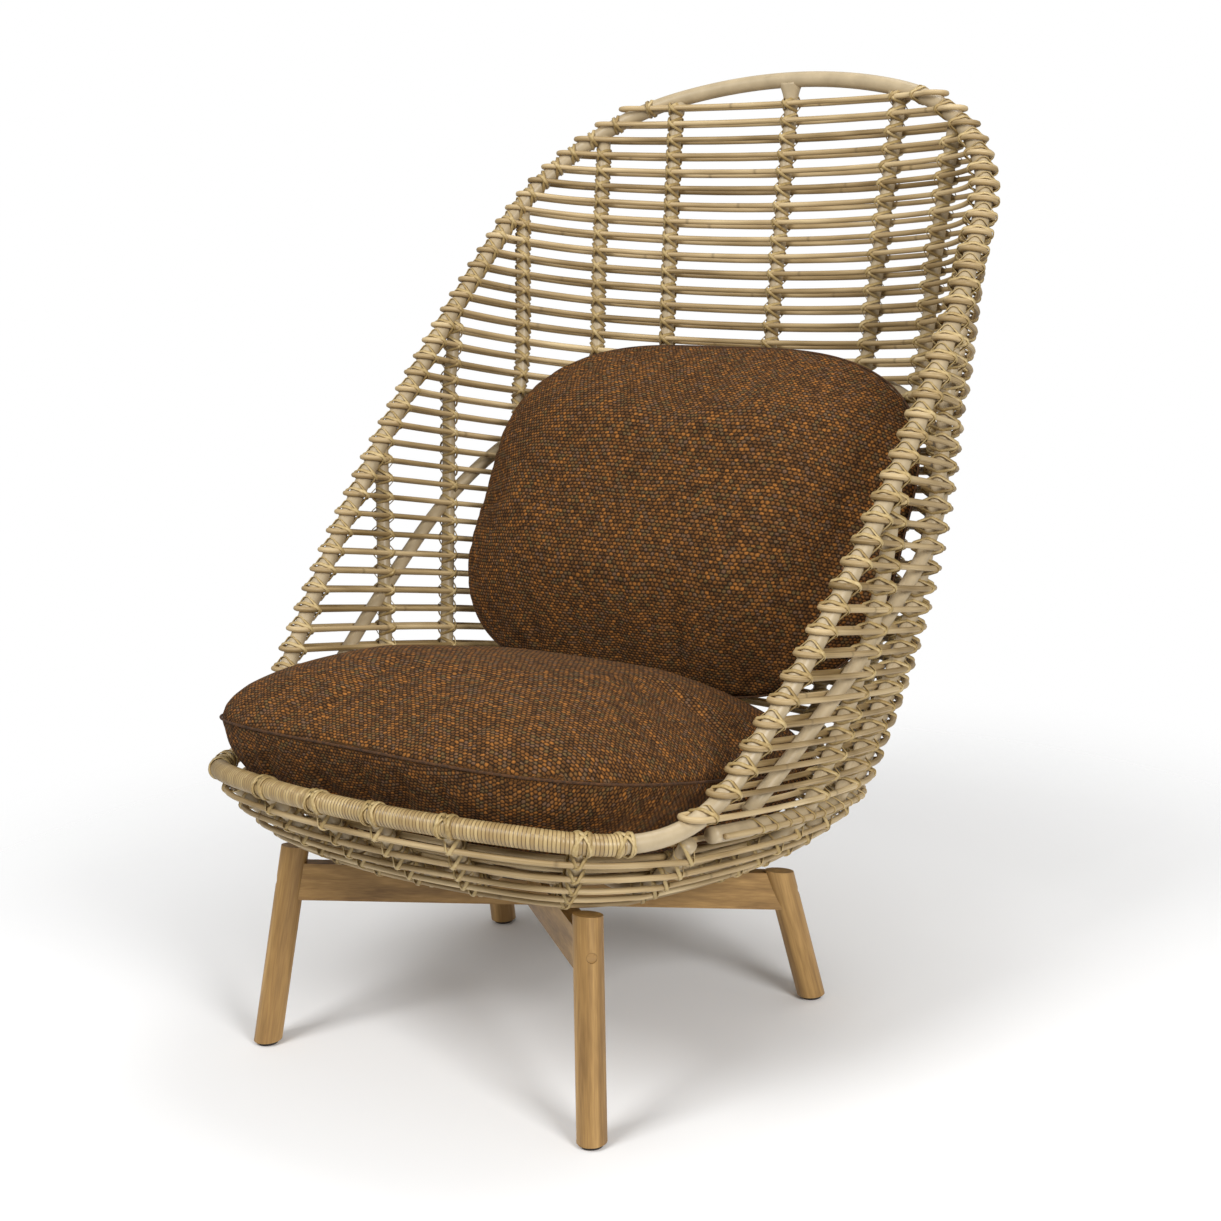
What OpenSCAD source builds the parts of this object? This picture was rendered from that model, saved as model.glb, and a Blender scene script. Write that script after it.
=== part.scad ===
// High-back woven lounge chair: a round cane basket on a tube frame, carried by four splayed wooden legs,
// with a seat cushion and a back cushion. Millimetres, +Z up, the sitter looks along -Y.
// The origin lies on the floor under the middle of the overall box.

/* [Seat ring] */
// Depth of the ring from its back to the front edge
ring_depth = 821; // [810:1:830]
// Distance that the row on the ring runs on past its widest line
side_past = 85; // [60:1:110]
// Length of the ring's side arc behind its widest line
side_back = 300; // [240:5:320]
// Radius of the ring's rear corners
corner_r = 270; // [250:2:280]
// Radius of the long sides
side_r = 1200; // [1000:10:1600]
// Radius of the front edge
front_r = 720; // [680:10:900]
// Height of the front edge's axis above the floor
seat_h = 392; // [380:1:400]
// Backward tilt of the ring in degrees
seat_tilt = 10.7; // [10:0.1:11.4]

/* [Back] */
// Length of the centre rib from the ring to the top row of cane
back_len = 937; // [920:1:950]
// Recline of the centre rib from the vertical in degrees
recline = 12.4; // [11.6:0.1:13.2]
// Tilt that the upper rows of cane have beyond the ring's
row_flare = 5.8; // [4:0.1:8]
// Part of that tilt which the top row gives up again
top_settle = 10.9; // [8:0.1:12]
// Row from which the rows run on past their widest line
straight_row = 19; // [17:1:22]
// Turn of the top row at its end, in degrees
top_turn = 20; // [18:0.5:24]
// Corner radius of the top row
top_corner_r = 150; // [140:2:160]
// Extra corner radius half way down the back
corner_swell = 50; // [30:2:60]

/* [Rim] */
// Slope of the rim's plane in degrees
rim_slope = 46; // [45:0.2:47]
// Length of the rim along its slope, from the front corner to the crown
rim_len = 1131; // [1120:1:1140]
// Width of the rim between tube axes
rim_w = 839; // [820:1:860]
// Distance of the rim's widest line from the front corner, along the slope
rim_wide_at = 518; // [490:2:550]
// Radius of the rim's crown
crown_r = 652; // [600:2:700]
// Radius of the rim's shoulders
shoulder_r = 294; // [270:2:310]
// Radius of the rim's sides
rim_side_r = 2300; // [2000:10:2800]
// Distance of the front corners from the front edge, along the ring
corner_back = 227; // [215:1:240]
// Rise of the rim over the ring's plane at the front corners
corner_rise = 25; // [20:1:30]
// Length of the handles of the bend at the front corners
corner_pull = 125; // [110:1:140]

/* [Tubes and cane] */
// Diameter of the rim tube
rim_d = 22; // [18:0.5:24]
// Diameter of the seat ring's tube
ring_d = 20; // [16:0.5:22]
// Diameter of the ribs and the support hoop
rib_d = 19; // [14:0.5:20]
// Diameter of one cane
cane_d = 8; // [5:0.5:9]
// Spacing of the cane rows along the centre rib
row_pitch = 24.6; // [22:0.2:40]
// Row at which the support hoop crosses the centre rib
hoop_row = 16; // [12:1:20]
// Distance of the support hoop's feet behind the front corners
hoop_foot = 45; // [35:1:70]
// Thickness of the binding wound round the front edge
binding_t = 1.2; // [0.8:0.1:2]
// Width of one turn of that binding
binding_w = 7; // [5:0.5:12]

/* [Bowl] */
// Depth of the bowl's rib axes under the ring
bowl_depth = 86; // [80:1:94]
// Width of the bowl's curved wall, in plan
bowl_wall = 125; // [110:1:150]
// Roundness of the wall's section: 1 would be a straight slope
wall_curve = 1.6; // [1.4:0.05:1.8]
// Number of cane rows in the bowl's wall
bowl_rows = 6; // [3:1:7]
// Diameter of the hub plate that the ribs meet on
hub_d = 200; // [170:2:240]
// Thickness of the hub plate
hub_t = 4; // [3:0.5:6]

/* [Legs] */
// Diameter of a leg
leg_d = 36; // [30:0.5:42]
// Half of the spacing of the feet across
foot_x = 266; // [250:1:280]
// Half of the spacing of the feet from front to back
foot_y = 241; // [225:1:255]
// Inward lean of a leg to the side, in degrees
lean_x = 6.4; // [4:0.1:9]
// Inward lean of a leg to the front or back, in degrees
lean_y = 11.3; // [9:0.1:13]
// Distance of the feet's middle behind the front edge
foot_back = 330; // [315:1:345]
// Backward tilt of the crossed boards in degrees
deck_tilt = 8; // [7:0.2:9]
// Thickness of the spacer at its middle
spacer_h = 16; // [14:0.5:22]
// Height of the crossed boards
board_h = 48; // [40:1:60]
// Thickness of the crossed boards
board_t = 24; // [18:0.5:30]
// Diameter of the dowels that tie the boards to the legs
dowel_d = 12; // [8:0.5:14]
// Length of a dowel inside its board
dowel_in = 30; // [20:1:40]
// Diameter of a foot glide
glide_d = 26; // [20:0.5:30]
// Height of a foot glide
glide_h = 5; // [3:0.5:8]
// Clearance between neighbouring pieces
fit_gap = 0.3; // [0.2:0.05:0.5]

/* [Cushions] */
// Width of the seat cushion
seat_w = 682; // [620:2:684]
// Depth of the seat cushion
seat_l = 658; // [600:2:660]
// Height of its crown over its seam
seat_crown = 100; // [70:1:120]
// Height of its seam over the ring, at its middle
seat_rise = 51; // [44:1:60]
// Slope of its seam against the ring in degrees
seat_slope = 3.2; // [2.4:0.1:4]
// Distance of its middle behind the front edge
seat_back = 319; // [314:1:325]
// Width of the back cushion
pillow_w = 735; // [660:1:736]
// Height of the back cushion
pillow_h = 519; // [460:1:520]
// Thickness of the back cushion at its crown
pillow_t = 160; // [110:1:161]
// Recline of the back cushion from the vertical in degrees
pillow_lean = 29; // [27:0.5:31]
// Distance of its middle behind the front edge
pillow_back = 690; // [686:0.5:700]
// Height of its middle above the ring's back
pillow_rise = 371; // [370:0.5:380]

/* [Hidden] */

tube_colour = "#c9b79c";
cane_colour = "#d2b98a";
binding_colour = "#d9c08a";
wood_colour = "#a9804f";
cloth_colour = "#6b4424";

// Rows are counted down the centre rib: row 1 is the top one, row rows + 1 would lie on the ring.
rows = floor(back_len / row_pitch + 0.5);
step = back_len / rows;
ring_z = seat_h - ring_depth * sin(seat_tilt);
front_wrap_r = (rim_d / 2 + fit_gap) / cos(180 / 8) + binding_t;
// Points as [y, z] are measured from the ring's back, and ring_y is that back's place on the floor.
rim_foot = [-(ring_depth - corner_back) * cos(seat_tilt),
  ring_z + (ring_depth - corner_back) * sin(seat_tilt) + corner_rise];
front_y = -ring_depth * cos(seat_tilt);
// Offset of a cane from the row's line, where the pair clasps the rim tube
clasp = (rim_d + cane_d) / 2 + fit_gap;

function unit(v) = v / norm(v);
function smooth(a) = a * a * (3 - 2 * a);
function arc_len(r, a) = r * a * PI / 180;
function arc_deg(r, s) = s / r * 180 / PI;

function share(k) = min(1, max(0, (k - 1) / rows));
// Point of row k on the centre rib, as [y, z]
function spine(k) = let(s = (rows + 1 - k) * step) [s * sin(recline), ring_z + s * cos(recline)];
// The extra tilt builds up over the lower rows and is given up over the top rows, as shares of all the rows.
flare_share = 0.71;
settle_share = 0.24;
function tilt(k) = seat_tilt + row_flare * smooth(min(1, max(0, (rows + 1 - k) / (rows * flare_share))))
  - top_settle * pow(1 - min(1, share(k) / settle_share), 2);
// Distance in the row's plane from the centre rib to a plane through point p = [y, z] with the given slope
function reach_to(k, p, slope) = let(c = spine(k), h = p[1] - c[1] - (p[0] - c[0]) * tan(slope))
  h / (sin(tilt(k)) + cos(tilt(k)) * tan(slope));
// Rim outline in its plane: crown arc, shoulder arc and side arc, tangent to one another
crown_c = [0, rim_len - crown_r];
side_c = [rim_w / 2 - rim_side_r, rim_wide_at];
function meet(c1, r1, c2, r2) = let(d = c2 - c1, n = norm(d), a = (r1 * r1 - r2 * r2 + n * n) / (2 * n),
  h = sqrt(r1 * r1 - a * a), u = d / n) c1 + a * u + h * [-u[1], u[0]];
shoulder_c = meet(side_c, rim_side_r - shoulder_r, crown_c, crown_r - shoulder_r);
crown_a = atan2(shoulder_c[0] - crown_c[0], shoulder_c[1] - crown_c[1]);
side_a = atan2(shoulder_c[1] - side_c[1], shoulder_c[0] - side_c[0]);
crown_q = crown_c[1] + crown_r * cos(crown_a);
shoulder_q = side_c[1] + rim_side_r * sin(side_a);
// Half width of the rim at position q, and the turn of its tangent from the slope's direction
function rim_x(q) = q >= crown_q ? sqrt(max(0, crown_r * crown_r - pow(q - crown_c[1], 2)))
  : q >= shoulder_q ? shoulder_c[0] + sqrt(shoulder_r * shoulder_r - pow(q - shoulder_c[1], 2))
  : side_c[0] + sqrt(rim_side_r * rim_side_r - pow(q - side_c[1], 2));
function rim_turn(q) = q >= crown_q ? acos(min(1, rim_x(q) / crown_r))
  : q >= shoulder_q ? acos(min(1, (rim_x(q) - shoulder_c[0]) / shoulder_r))
  : asin((q - side_c[1]) / rim_side_r);
function rim_at(x, q) = [x, rim_foot[0] + q * cos(rim_slope), rim_foot[1] + q * sin(rim_slope)];
function ring_at(x, v) = [x, -v * cos(seat_tilt), ring_z + v * sin(seat_tilt)];
// Bend from the rim's side into the front edge, with t from 0 to 1
front_x = 215;
front_v = ring_depth - front_r + sqrt(front_r * front_r - front_x * front_x);
front_a = asin(front_x / front_r);
bend_q = 60;
bend_0 = rim_at(rim_x(bend_q), bend_q);
bend_t0 = let(t = rim_turn(bend_q)) [sin(t), -cos(t) * cos(rim_slope), -cos(t) * sin(rim_slope)];
bend_3 = ring_at(front_x, front_v);
bend_t3 = [cos(front_a), sin(front_a) * cos(seat_tilt), -sin(front_a) * sin(seat_tilt)];
function bezier(a, b, c, d, t) = pow(1 - t, 3) * a + 3 * t * pow(1 - t, 2) * b + 3 * t * t * (1 - t) * c + pow(t, 3) * d;
function bend_at(t) = bezier(bend_0, bend_0 + corner_pull * bend_t0, bend_3 + corner_pull * bend_t3, bend_3, t);

// Where row k meets the rim's axis: on the sloping plane, or on the bend for the lowest rows
function reach_0(k) = reach_to(k, rim_foot, rim_slope);
function rim_q(k) = (spine(k)[1] + reach_0(k) * sin(tilt(k)) - rim_foot[1]) / sin(rim_slope);
function in_bend(k) = k <= rows && rim_q(k) < bend_q;
function in_row(k, p) = [p[0], p[2] * sin(tilt(k)) - p[1] * cos(tilt(k)), p[1] * sin(tilt(k)) + p[2] * cos(tilt(k))];
function row_origin(k) = in_row(k, [0, spine(k)[0], spine(k)[1]]);
function bend_t(k, lo = 0, hi = 0.45, n = 14) = n == 0 ? (lo + hi) / 2 : let(m = (lo + hi) / 2)
  in_row(k, bend_at(m))[2] > row_origin(k)[2] ? bend_t(k, m, hi, n - 1) : bend_t(k, lo, m, n - 1);
function row_end(k) = in_bend(k) ? in_row(k, bend_at(bend_t(k))) - row_origin(k) : [rim_x(rim_q(k)), reach_0(k), 0];
function reach(k) = row_end(k)[1];
// Direction of the rim there, in the row's own frame
function rim_way(k) = in_bend(k) ? let(t = bend_t(k)) in_row(k, unit(bend_at(t - 0.02) - bend_at(t + 0.02)))
  : let(t = rim_turn(rim_q(k)), a = rim_slope + tilt(k)) [-sin(t), -cos(t) * cos(a), cos(t) * sin(a)];

// Row outline in its own plane: back arc, corner arc and, on the lower rows, a side arc through the widest line
past_growth = 1.4;
function straight(k) = max(0, (k - straight_row) / (rows + 1 - straight_row));
function has_side(k) = k > straight_row;
function depth(k) = reach_0(k) - side_past * pow(straight(k), past_growth);
function past(k) = reach(k) - depth(k);
function side_start(k) = side_back * straight(k);
// Turn of the row where its corner arc ends
function turn(k) = has_side(k) ? acos(side_start(k) / side_r)
  : 90 - (90 - top_turn) * pow(1 - (k - 1) / (straight_row - 1), past_growth);
function corner(k) = top_corner_r + (corner_r - top_corner_r) * share(k) + corner_swell * 4 * share(k) * (1 - share(k));
function half(k) = row_end(k)[0] + (has_side(k) ? side_r - sqrt(side_r * side_r - past(k) * past(k)) : 0);
function corner_end(k) = has_side(k)
  ? [half(k) - side_r + sqrt(side_r * side_r - pow(side_start(k), 2)), depth(k) - side_start(k)] : [half(k), reach(k)];
function corner_c(k) = corner_end(k) - corner(k) * [sin(turn(k)), -cos(turn(k))];
function side_c2(k) = [half(k) - side_r, depth(k)];
function last_r(k) = has_side(k) ? side_r : corner(k);
function last_c(k) = has_side(k) ? side_c2(k) : corner_c(k);
function back_a(k) = 2 * atan2(corner_c(k)[1] - corner(k), corner_c(k)[0]);
function back_r(k) = corner(k) + corner_c(k)[0] / sin(back_a(k));
function end_a(k) = has_side(k) ? asin(past(k) / side_r) : turn(k) - 90;
// Parts of the rim's direction across the row and out of its plane, at its end
function across(k) = let(u = rim_way(k), e = end_a(k)) u[0] * cos(e) + u[1] * sin(e);
function out_of(k) = rim_way(k)[2];
// Offset of the two canes of row k, wide enough to pass either side of the rim tube
bend_room = 0.8;
function pair(k) = clasp * norm([across(k), out_of(k)]) / out_of(k) + (in_bend(k) ? bend_room : 0);
// How far the row's last arc runs on past the rim's axis, so that the round loop clears the tube on every side
function along(k) = let(u = rim_way(k), e = end_a(k)) u[1] * cos(e) - u[0] * sin(e);
function lead(k) = let(a = along(k), c = across(k), p = pair(k)) max([for (f = [0:15:180]) let(y = p * cos(f),
  h = pow(a * c * y, 2) - (1 - a * a) * (y * y * (1 - c * c) - clasp * clasp)) (a * c * y + sqrt(max(0, h))) / (1 - a * a) - p * sin(f)]);
function lead_a(k) = end_a(k) + arc_deg(last_r(k), max(0, lead(k)) + (in_bend(k) ? bend_room : 0));

// Point at length s along row k from the centre rib, and its place in space
function on_row(k, s) = let(lb = arc_len(back_r(k), back_a(k)), lc = arc_len(corner(k), turn(k) - back_a(k)), a = abs(s))
  let(p = a <= lb ? back_r(k) * [sin(arc_deg(back_r(k), a)), 1 - cos(arc_deg(back_r(k), a))]
    : a <= lb + lc || !has_side(k) ? let(t = back_a(k) + arc_deg(corner(k), a - lb)) corner_c(k) + corner(k) * [sin(t), -cos(t)]
    : let(t = turn(k) - 90 + arc_deg(side_r, a - lb - lc)) side_c2(k) + side_r * [cos(t), sin(t)])
  [s < 0 ? -p[0] : p[0], p[1]];
function placed(k, p) = [p[0], ring_y + spine(k)[0] - p[1] * cos(tilt(k)), spine(k)[1] + p[1] * sin(tilt(k))];
function on_shell(k, s) = k >= 1 ? placed(k, on_row(k, s))
  : placed(1, on_row(1, s)) * (2 - k) - placed(2, on_row(2, s)) * (1 - k);
// Half width of row k at distance w from the centre rib
function row_x(k, w) = has_side(k) && w >= corner_end(k)[1] ? side_c2(k)[0] + sqrt(side_r * side_r - pow(w - depth(k), 2))
  : w >= back_r(k) * (1 - cos(back_a(k))) ? corner_c(k)[0] + sqrt(pow(corner(k), 2) - pow(corner_c(k)[1] - w, 2))
  : sqrt(pow(back_r(k), 2) - pow(back_r(k) - w, 2));

// The box runs from the bound front edge to the back of the top row or of the rim's crown.
back_y = max(rim_foot[0] + rim_len * cos(rim_slope) + rim_d / 2, spine(1)[0] + pair(1) * cos(tilt(1)) + cane_d / 2);
ring_y = (front_wrap_r * cos(180 / 8) - front_y - back_y) / 2;
feet_y = ring_y + front_y + foot_back;

// Tubes are swept along a list of points. A frame is carried from ring to ring, and an end may be cut by the
// plane through cut[0] with normal cut[1].
function heading(p, i, closed = false) = let(n = len(p))
  closed ? unit(p[(i + 1) % n] - p[(i + n - 1) % n]) : unit(p[min(i + 1, n - 1)] - p[max(i - 1, 0)]);
function across_to(n, t) = unit(n - (n * t) * t);
function carried(p, n0, closed) = [for (i = 0, n = across_to(n0, heading(p, 0, closed)); i < len(p); i = i + 1,
  n = i < len(p) ? across_to(n, heading(p, i, closed)) : n) n];
function slid(v, t, cut) = v + t * (((cut[0] - v) * cut[1]) / (t * cut[1]));
function section(c, t, n, r, sides) = [for (j = [0:sides - 1]) let(a = 360 * (j + 0.5) / sides)
  c + r * (cos(a) * n + sin(a) * cross(t, n))];
function quads(rings, sides, closed) = [for (i = [0:rings - (closed ? 1 : 2)], j = [0:sides - 1])
  let(a = i * sides + j, b = i * sides + (j + 1) % sides, c = ((i + 1) % rings) * sides + j,
    d = ((i + 1) % rings) * sides + (j + 1) % sides) each [[a, c, d], [a, d, b]]];
function fan(first, sides, up) = [for (j = [1:sides - 2]) up ? [first, first + j + 1, first + j] : [first, first + j, first + j + 1]];
// Radius r is a number, or a list with one number for each point of the path
function tube(path, r, n0, sides = 10, closed = false, cut0 = undef, cut1 = undef) =
  let(m = len(path), n = carried(path, n0, closed))
  [[for (i = [0:m - 1]) let(t = heading(path, i, closed), ring = section(path[i], t, n[i], is_list(r) ? r[i] : r, sides))
      each i == 0 && !is_undef(cut0) ? [for (v = ring) slid(v, t, cut0)]
        : i == m - 1 && !is_undef(cut1) ? [for (v = ring) slid(v, t, cut1)] : ring],
    closed ? quads(m, sides, true) : concat(fan(0, sides, false), quads(m, sides, false), fan((m - 1) * sides, sides, true))];
module solids(meshes) {
  starts = [for (i = 0, s = 0; i < len(meshes); s = s + len(meshes[i][0]), i = i + 1) s];
  polyhedron([for (m = meshes) each m[0]],
    [for (i = [0:len(meshes) - 1]) each [for (f = meshes[i][1]) [for (v = f) v + starts[i]]]]);
}
// Plane that ends a tube of direction t short of a crossing tube with axis point p, direction r and radius g
function stop_at(p, r, t, g) = let(m = unit(t - (t * r) * r)) [p - (g + fit_gap) * m, m];

// The rim: crown, shoulders and sides, then the bend at each front corner and the front edge
shift = [0, ring_y, 0];
function rim_3d(x, q) = rim_at(x, q) + shift;
function ring_3d(x, v) = ring_at(x, v) + shift;
function bend(t) = bend_at(t) + shift;
function edge_3d(a) = ring_3d(front_r * sin(a), ring_depth - front_r + front_r * cos(a));
bend_steps = 12;
edge_steps = 5;
rim_right = concat(
  [for (i = [0:6]) let(a = crown_a * i / 7) rim_3d(crown_r * sin(a), crown_c[1] + crown_r * cos(a))],
  [for (i = [0:11]) let(a = side_a + (90 - crown_a - side_a) * (1 - i / 12))
    rim_3d(shoulder_c[0] + shoulder_r * cos(a), shoulder_c[1] + shoulder_r * sin(a))],
  [for (i = [0:11]) let(a = side_a + (asin((bend_q - side_c[1]) / rim_side_r) - side_a) * i / 12)
    rim_3d(side_c[0] + rim_side_r * cos(a), side_c[1] + rim_side_r * sin(a))],
  [for (i = [0:bend_steps - 1]) bend(i / bend_steps)],
  [for (i = [0:edge_steps - 1]) edge_3d(front_a * (1 - i / edge_steps))]);
rim_loop = concat(rim_right, [ring_3d(0, ring_depth)],
  [for (i = [len(rim_right) - 1:-1:1]) [-rim_right[i][0], rim_right[i][1], rim_right[i][2]]]);
module rim_hoop() color(tube_colour) solids([tube(rim_loop, rim_d / 2, [0, -1, 1], 10, true)]);

function flip(p) = [-p[0], p[1], p[2]];
function mirrored(path) = [for (i = [len(path) - 1:-1:0]) flip(path[i])];

// The seat ring runs round the back and the sides and stops against the rim's bends.
ring_len = arc_len(back_r(rows + 1), back_a(rows + 1)) + arc_len(corner(rows + 1), turn(rows + 1) - back_a(rows + 1))
  + arc_len(side_r, 90 - turn(rows + 1));
ring_widest = depth(rows + 1);
ring_end_v = ring_depth - corner_back + 10;
ring_stop = bend(0.33);
ring_stop_t = unit(bend(0.36) - bend(0.3));
function ring_half_path(n) = [for (i = [1:n]) let(s = ring_len * i / n) on_shell(rows + 1, s)];
ring_side = [for (i = [1:4]) let(v = ring_widest + (ring_end_v - ring_widest) * i / 4) ring_3d(row_x(rows + 1, v), v)];
ring_path = concat(mirrored(concat(ring_half_path(20), ring_side)), [on_shell(rows + 1, 0)],
  ring_half_path(20), ring_side);
module seat_ring() {
  t = unit(ring_path[len(ring_path) - 1] - ring_path[len(ring_path) - 2]);
  cut = stop_at(ring_stop, ring_stop_t, t, rim_d / 2);
  color(tube_colour) solids([tube(ring_path, ring_d / 2, [0, 0, 1], 10, false, [flip(cut[0]), flip(cut[1])], cut)]);
}

// The support hoop lies in the ribs' layer, from the ring behind the front corners up to the centre rib.
hoop_v = ring_depth - corner_back - hoop_foot;
hoop_base = [-hoop_v * cos(seat_tilt), ring_z + hoop_v * sin(seat_tilt)];
hoop_slope = atan2(spine(hoop_row)[1] - hoop_base[1], spine(hoop_row)[0] - hoop_base[0]);
function hoop_at(k) = let(w = max(0, reach_to(k, hoop_base, hoop_slope))) placed(k, [row_x(k, w), w]);
hoop_half = [for (i = [1:14]) hoop_at(hoop_row + (rows + 1 - hoop_row) * pow(i / 14, 1.8))];
module support_hoop() {
  path = concat(mirrored(hoop_half), [placed(hoop_row, [0, 0])], hoop_half);
  t = unit(path[len(path) - 1] - path[len(path) - 2]);
  cut = stop_at(path[len(path) - 1], [0, -cos(seat_tilt), sin(seat_tilt)], t, ring_d / 2);
  color(tube_colour) solids([tube(path, rib_d / 2, [0, 0, 1], 10, false, [flip(cut[0]), flip(cut[1])], cut)]);
}

// Places of the ribs along a row, from the centre rib outwards: on the ring and on the top row
rib_ring = [0, 145, 255, 355, 460, 565];
rib_top = [0, 190, 302, 425, 550, 725];
function rib_s(j, k) = let(a = abs(j)) (j < 0 ? -1 : 1) * (rib_ring[a] + (rib_top[a] - rib_ring[a]) * (1 - share(k)));
function rib_at(j, k) = on_shell(k, rib_s(j, k));
function over(p, base, slope) = p[2] - base[1] - (p[1] - ring_y - base[0]) * tan(slope);
function row_of(j, base, slope, lo, hi, n = 22) = n == 0 ? (lo + hi) / 2 : let(m = (lo + hi) / 2)
  over(rib_at(j, m), base, slope) > 0 ? row_of(j, base, slope, m, hi, n - 1) : row_of(j, base, slope, lo, m, n - 1);
function rim_row(j) = row_of(j, rim_foot, rim_slope, -2, rows);
function hoop_row_of(j) = row_of(j, hoop_base, hoop_slope, 2, rows);
function rib_path(j, from, to, n) = [for (i = [0:n]) rib_at(j, from + (to - from) * i / n)];
function rib_dir(j, k) = unit(rib_at(j, k + 0.2) - rib_at(j, k - 0.2));
// Point of the rim's axis nearest to rib j, and the rim's direction there
crown_x = crown_r * sin(crown_a);
function rim_q_of(j) = let(p = rib_at(j, rim_row(j))) abs(p[0]) < crown_x ? crown_c[1] + sqrt(crown_r * crown_r - p[0] * p[0])
  : (p[2] - rim_foot[1]) / sin(rim_slope);
function rim_point(j) = let(q = rim_q_of(j)) rim_3d((j < 0 ? -1 : j > 0 ? 1 : 0) * rim_x(q), q);
function rim_dir(j) = let(t = rim_turn(rim_q_of(j))) [(j < 0 ? -1 : 1) * -sin(t), cos(t) * cos(rim_slope), cos(t) * sin(rim_slope)];
function row_dir(j, k) = unit(on_shell(k, rib_s(j, k) + 2) - on_shell(k, rib_s(j, k) - 2));
// Each rib has a length above the hoop and one below it.
function upper_rib(j, n, sides) = let(a = rim_row(j), b = hoop_row_of(j), path = rib_path(j, a, b, n))
  tube(path, rib_d / 2, [0, -1, 0.3], sides, false,
    stop_at(rim_point(j), rim_dir(j), -rib_dir(j, max(1.2, a)), rim_d / 2),
    stop_at(path[n], hoop_tangent(j), rib_dir(j, b), rib_d / 2));
function lower_rib(j, n, sides) = let(b = hoop_row_of(j), path = rib_path(j, b, rows + 1, n))
  tube(path, rib_d / 2, [0, -1, 0.3], sides, false,
    stop_at(path[0], hoop_tangent(j), -rib_dir(j, b), rib_d / 2),
    stop_at(path[n], row_dir(j, rows + 1), rib_dir(j, rows + 0.8), ring_d / 2));
// The hoop's direction where rib j crosses it, in the hoop's plane and in the shell
function hoop_tangent(j) = let(k = hoop_row_of(j), u = row_dir(j, k), v = rib_dir(j, k),
  a = u[2] - u[1] * tan(hoop_slope), b = v[2] - v[1] * tan(hoop_slope)) unit(b * u - a * v);
module back_ribs() color(tube_colour) solids([for (j = [-2:2]) each [upper_rib(j, 6, 8), lower_rib(j, 6, 8)]]);
module side_ribs_left() color(tube_colour) solids([for (j = [-5:-3]) each [upper_rib(j, 4, 8), lower_rib(j, 6, 8)]]);
module side_ribs_right() color(tube_colour) solids([for (j = [3:5]) each [upper_rib(j, 4, 8), lower_rib(j, 6, 8)]]);

// Cane rows: each row is a pair of canes that run inside and outside the ribs and clasp the rim in a loop.
module row_plane(k) translate([0, ring_y + spine(k)[0], spine(k)[1]]) rotate([180 - tilt(k), 0, 0]) children();
module strands(r, from, to, offsets, parts = 1) {
  trim = arc_deg(r, fit_gap / 2);
  part = (to - from) / parts;
  for (i = [0:parts - 1]) rotate([0, 0, from + i * part + trim])
    rotate_extrude(angle = part - 2 * trim, $fn = max(96, ceil(3600 / part)))
      for (o = offsets) translate([r + o, 0]) circle(d = cane_d, $fn = 16);
}
module back_strands(k) row_plane(k) translate([0, back_r(k)]) 
  strands(back_r(k), -90 - back_a(k), -90 + back_a(k), [-pair(k), pair(k)], 4);
module corner_strands(k) row_plane(k) translate(corner_c(k))
  strands(corner(k), back_a(k) - 90, has_side(k) ? turn(k) - 90 : lead_a(k), [-pair(k), pair(k)], has_side(k) ? 2 : 1);
module side_strands(k) row_plane(k) translate(side_c2(k))
  strands(side_r, turn(k) - 90, lead_a(k), [-pair(k), pair(k)]);
module loop(k) row_plane(k) translate(last_c(k) + last_r(k) * [cos(lead_a(k)), sin(lead_a(k))])
  rotate([0, 0, lead_a(k)]) strands(pair(k), 0, 180, [0]);
module left() mirror([1, 0, 0]) children();
mid_row = floor(rows / 2);
module cane_back_upper() color(cane_colour) for (k = [1:mid_row]) back_strands(k);
module cane_back_lower() color(cane_colour) for (k = [mid_row + 1:rows]) back_strands(k);
module cane_corner_right() color(cane_colour) for (k = [1:rows]) corner_strands(k);
module cane_corner_left() left() cane_corner_right();
module cane_side_right() color(cane_colour) for (k = [1:rows]) if (has_side(k)) side_strands(k);
module cane_side_left() left() cane_side_right();
module cane_loops_right() color(cane_colour) for (k = [1:rows]) loop(k);
module cane_loops_left() left() cane_loops_right();
module ring_cane() {
  k = rows + 1;
  g = (ring_d + cane_d) / 2 + fit_gap;
  color(cane_colour) {
    row_plane(k) translate([0, back_r(k)]) strands(back_r(k), -90 - back_a(k), -90 + back_a(k), [g], 4);
    for (m = [0, 1]) mirror([m, 0, 0]) row_plane(k) {
      translate(corner_c(k)) strands(corner(k), back_a(k) - 90, turn(k) - 90, [g], 2);
      translate(side_c2(k)) strands(side_r, turn(k) - 90, arc_deg(side_r, ring_end_v - ring_widest - 20), [g]);
    }
  }
}

// The bowl under the ring: its outline is the ring's, closed by the bends and the front edge.
edge_right = concat([for (i = [0:7]) let(s = ring_len * i / 8) on_row(rows + 1, s)],
  [for (i = [0:1]) let(v = ring_widest + (ring_depth - corner_back - ring_widest) * i / 2) [row_x(rows + 1, v), v]],
  [for (i = [2:7]) let(p = bend(i / 8)) [p[0], (ring_y - p[1]) / cos(seat_tilt)]],
  [for (i = [0:2]) let(a = front_a * (1 - i / 3)) [front_r * sin(a), ring_depth - front_r + front_r * cos(a)]],
  [[0, ring_depth]]);
function edge_normal(i) = let(n = len(edge_right), a = edge_right[max(0, i - 1)], b = edge_right[min(n - 1, i + 1)])
  i == 0 ? [0, 1] : i == n - 1 ? [0, -1] : unit([a[1] - b[1], b[0] - a[0]]);
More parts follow.
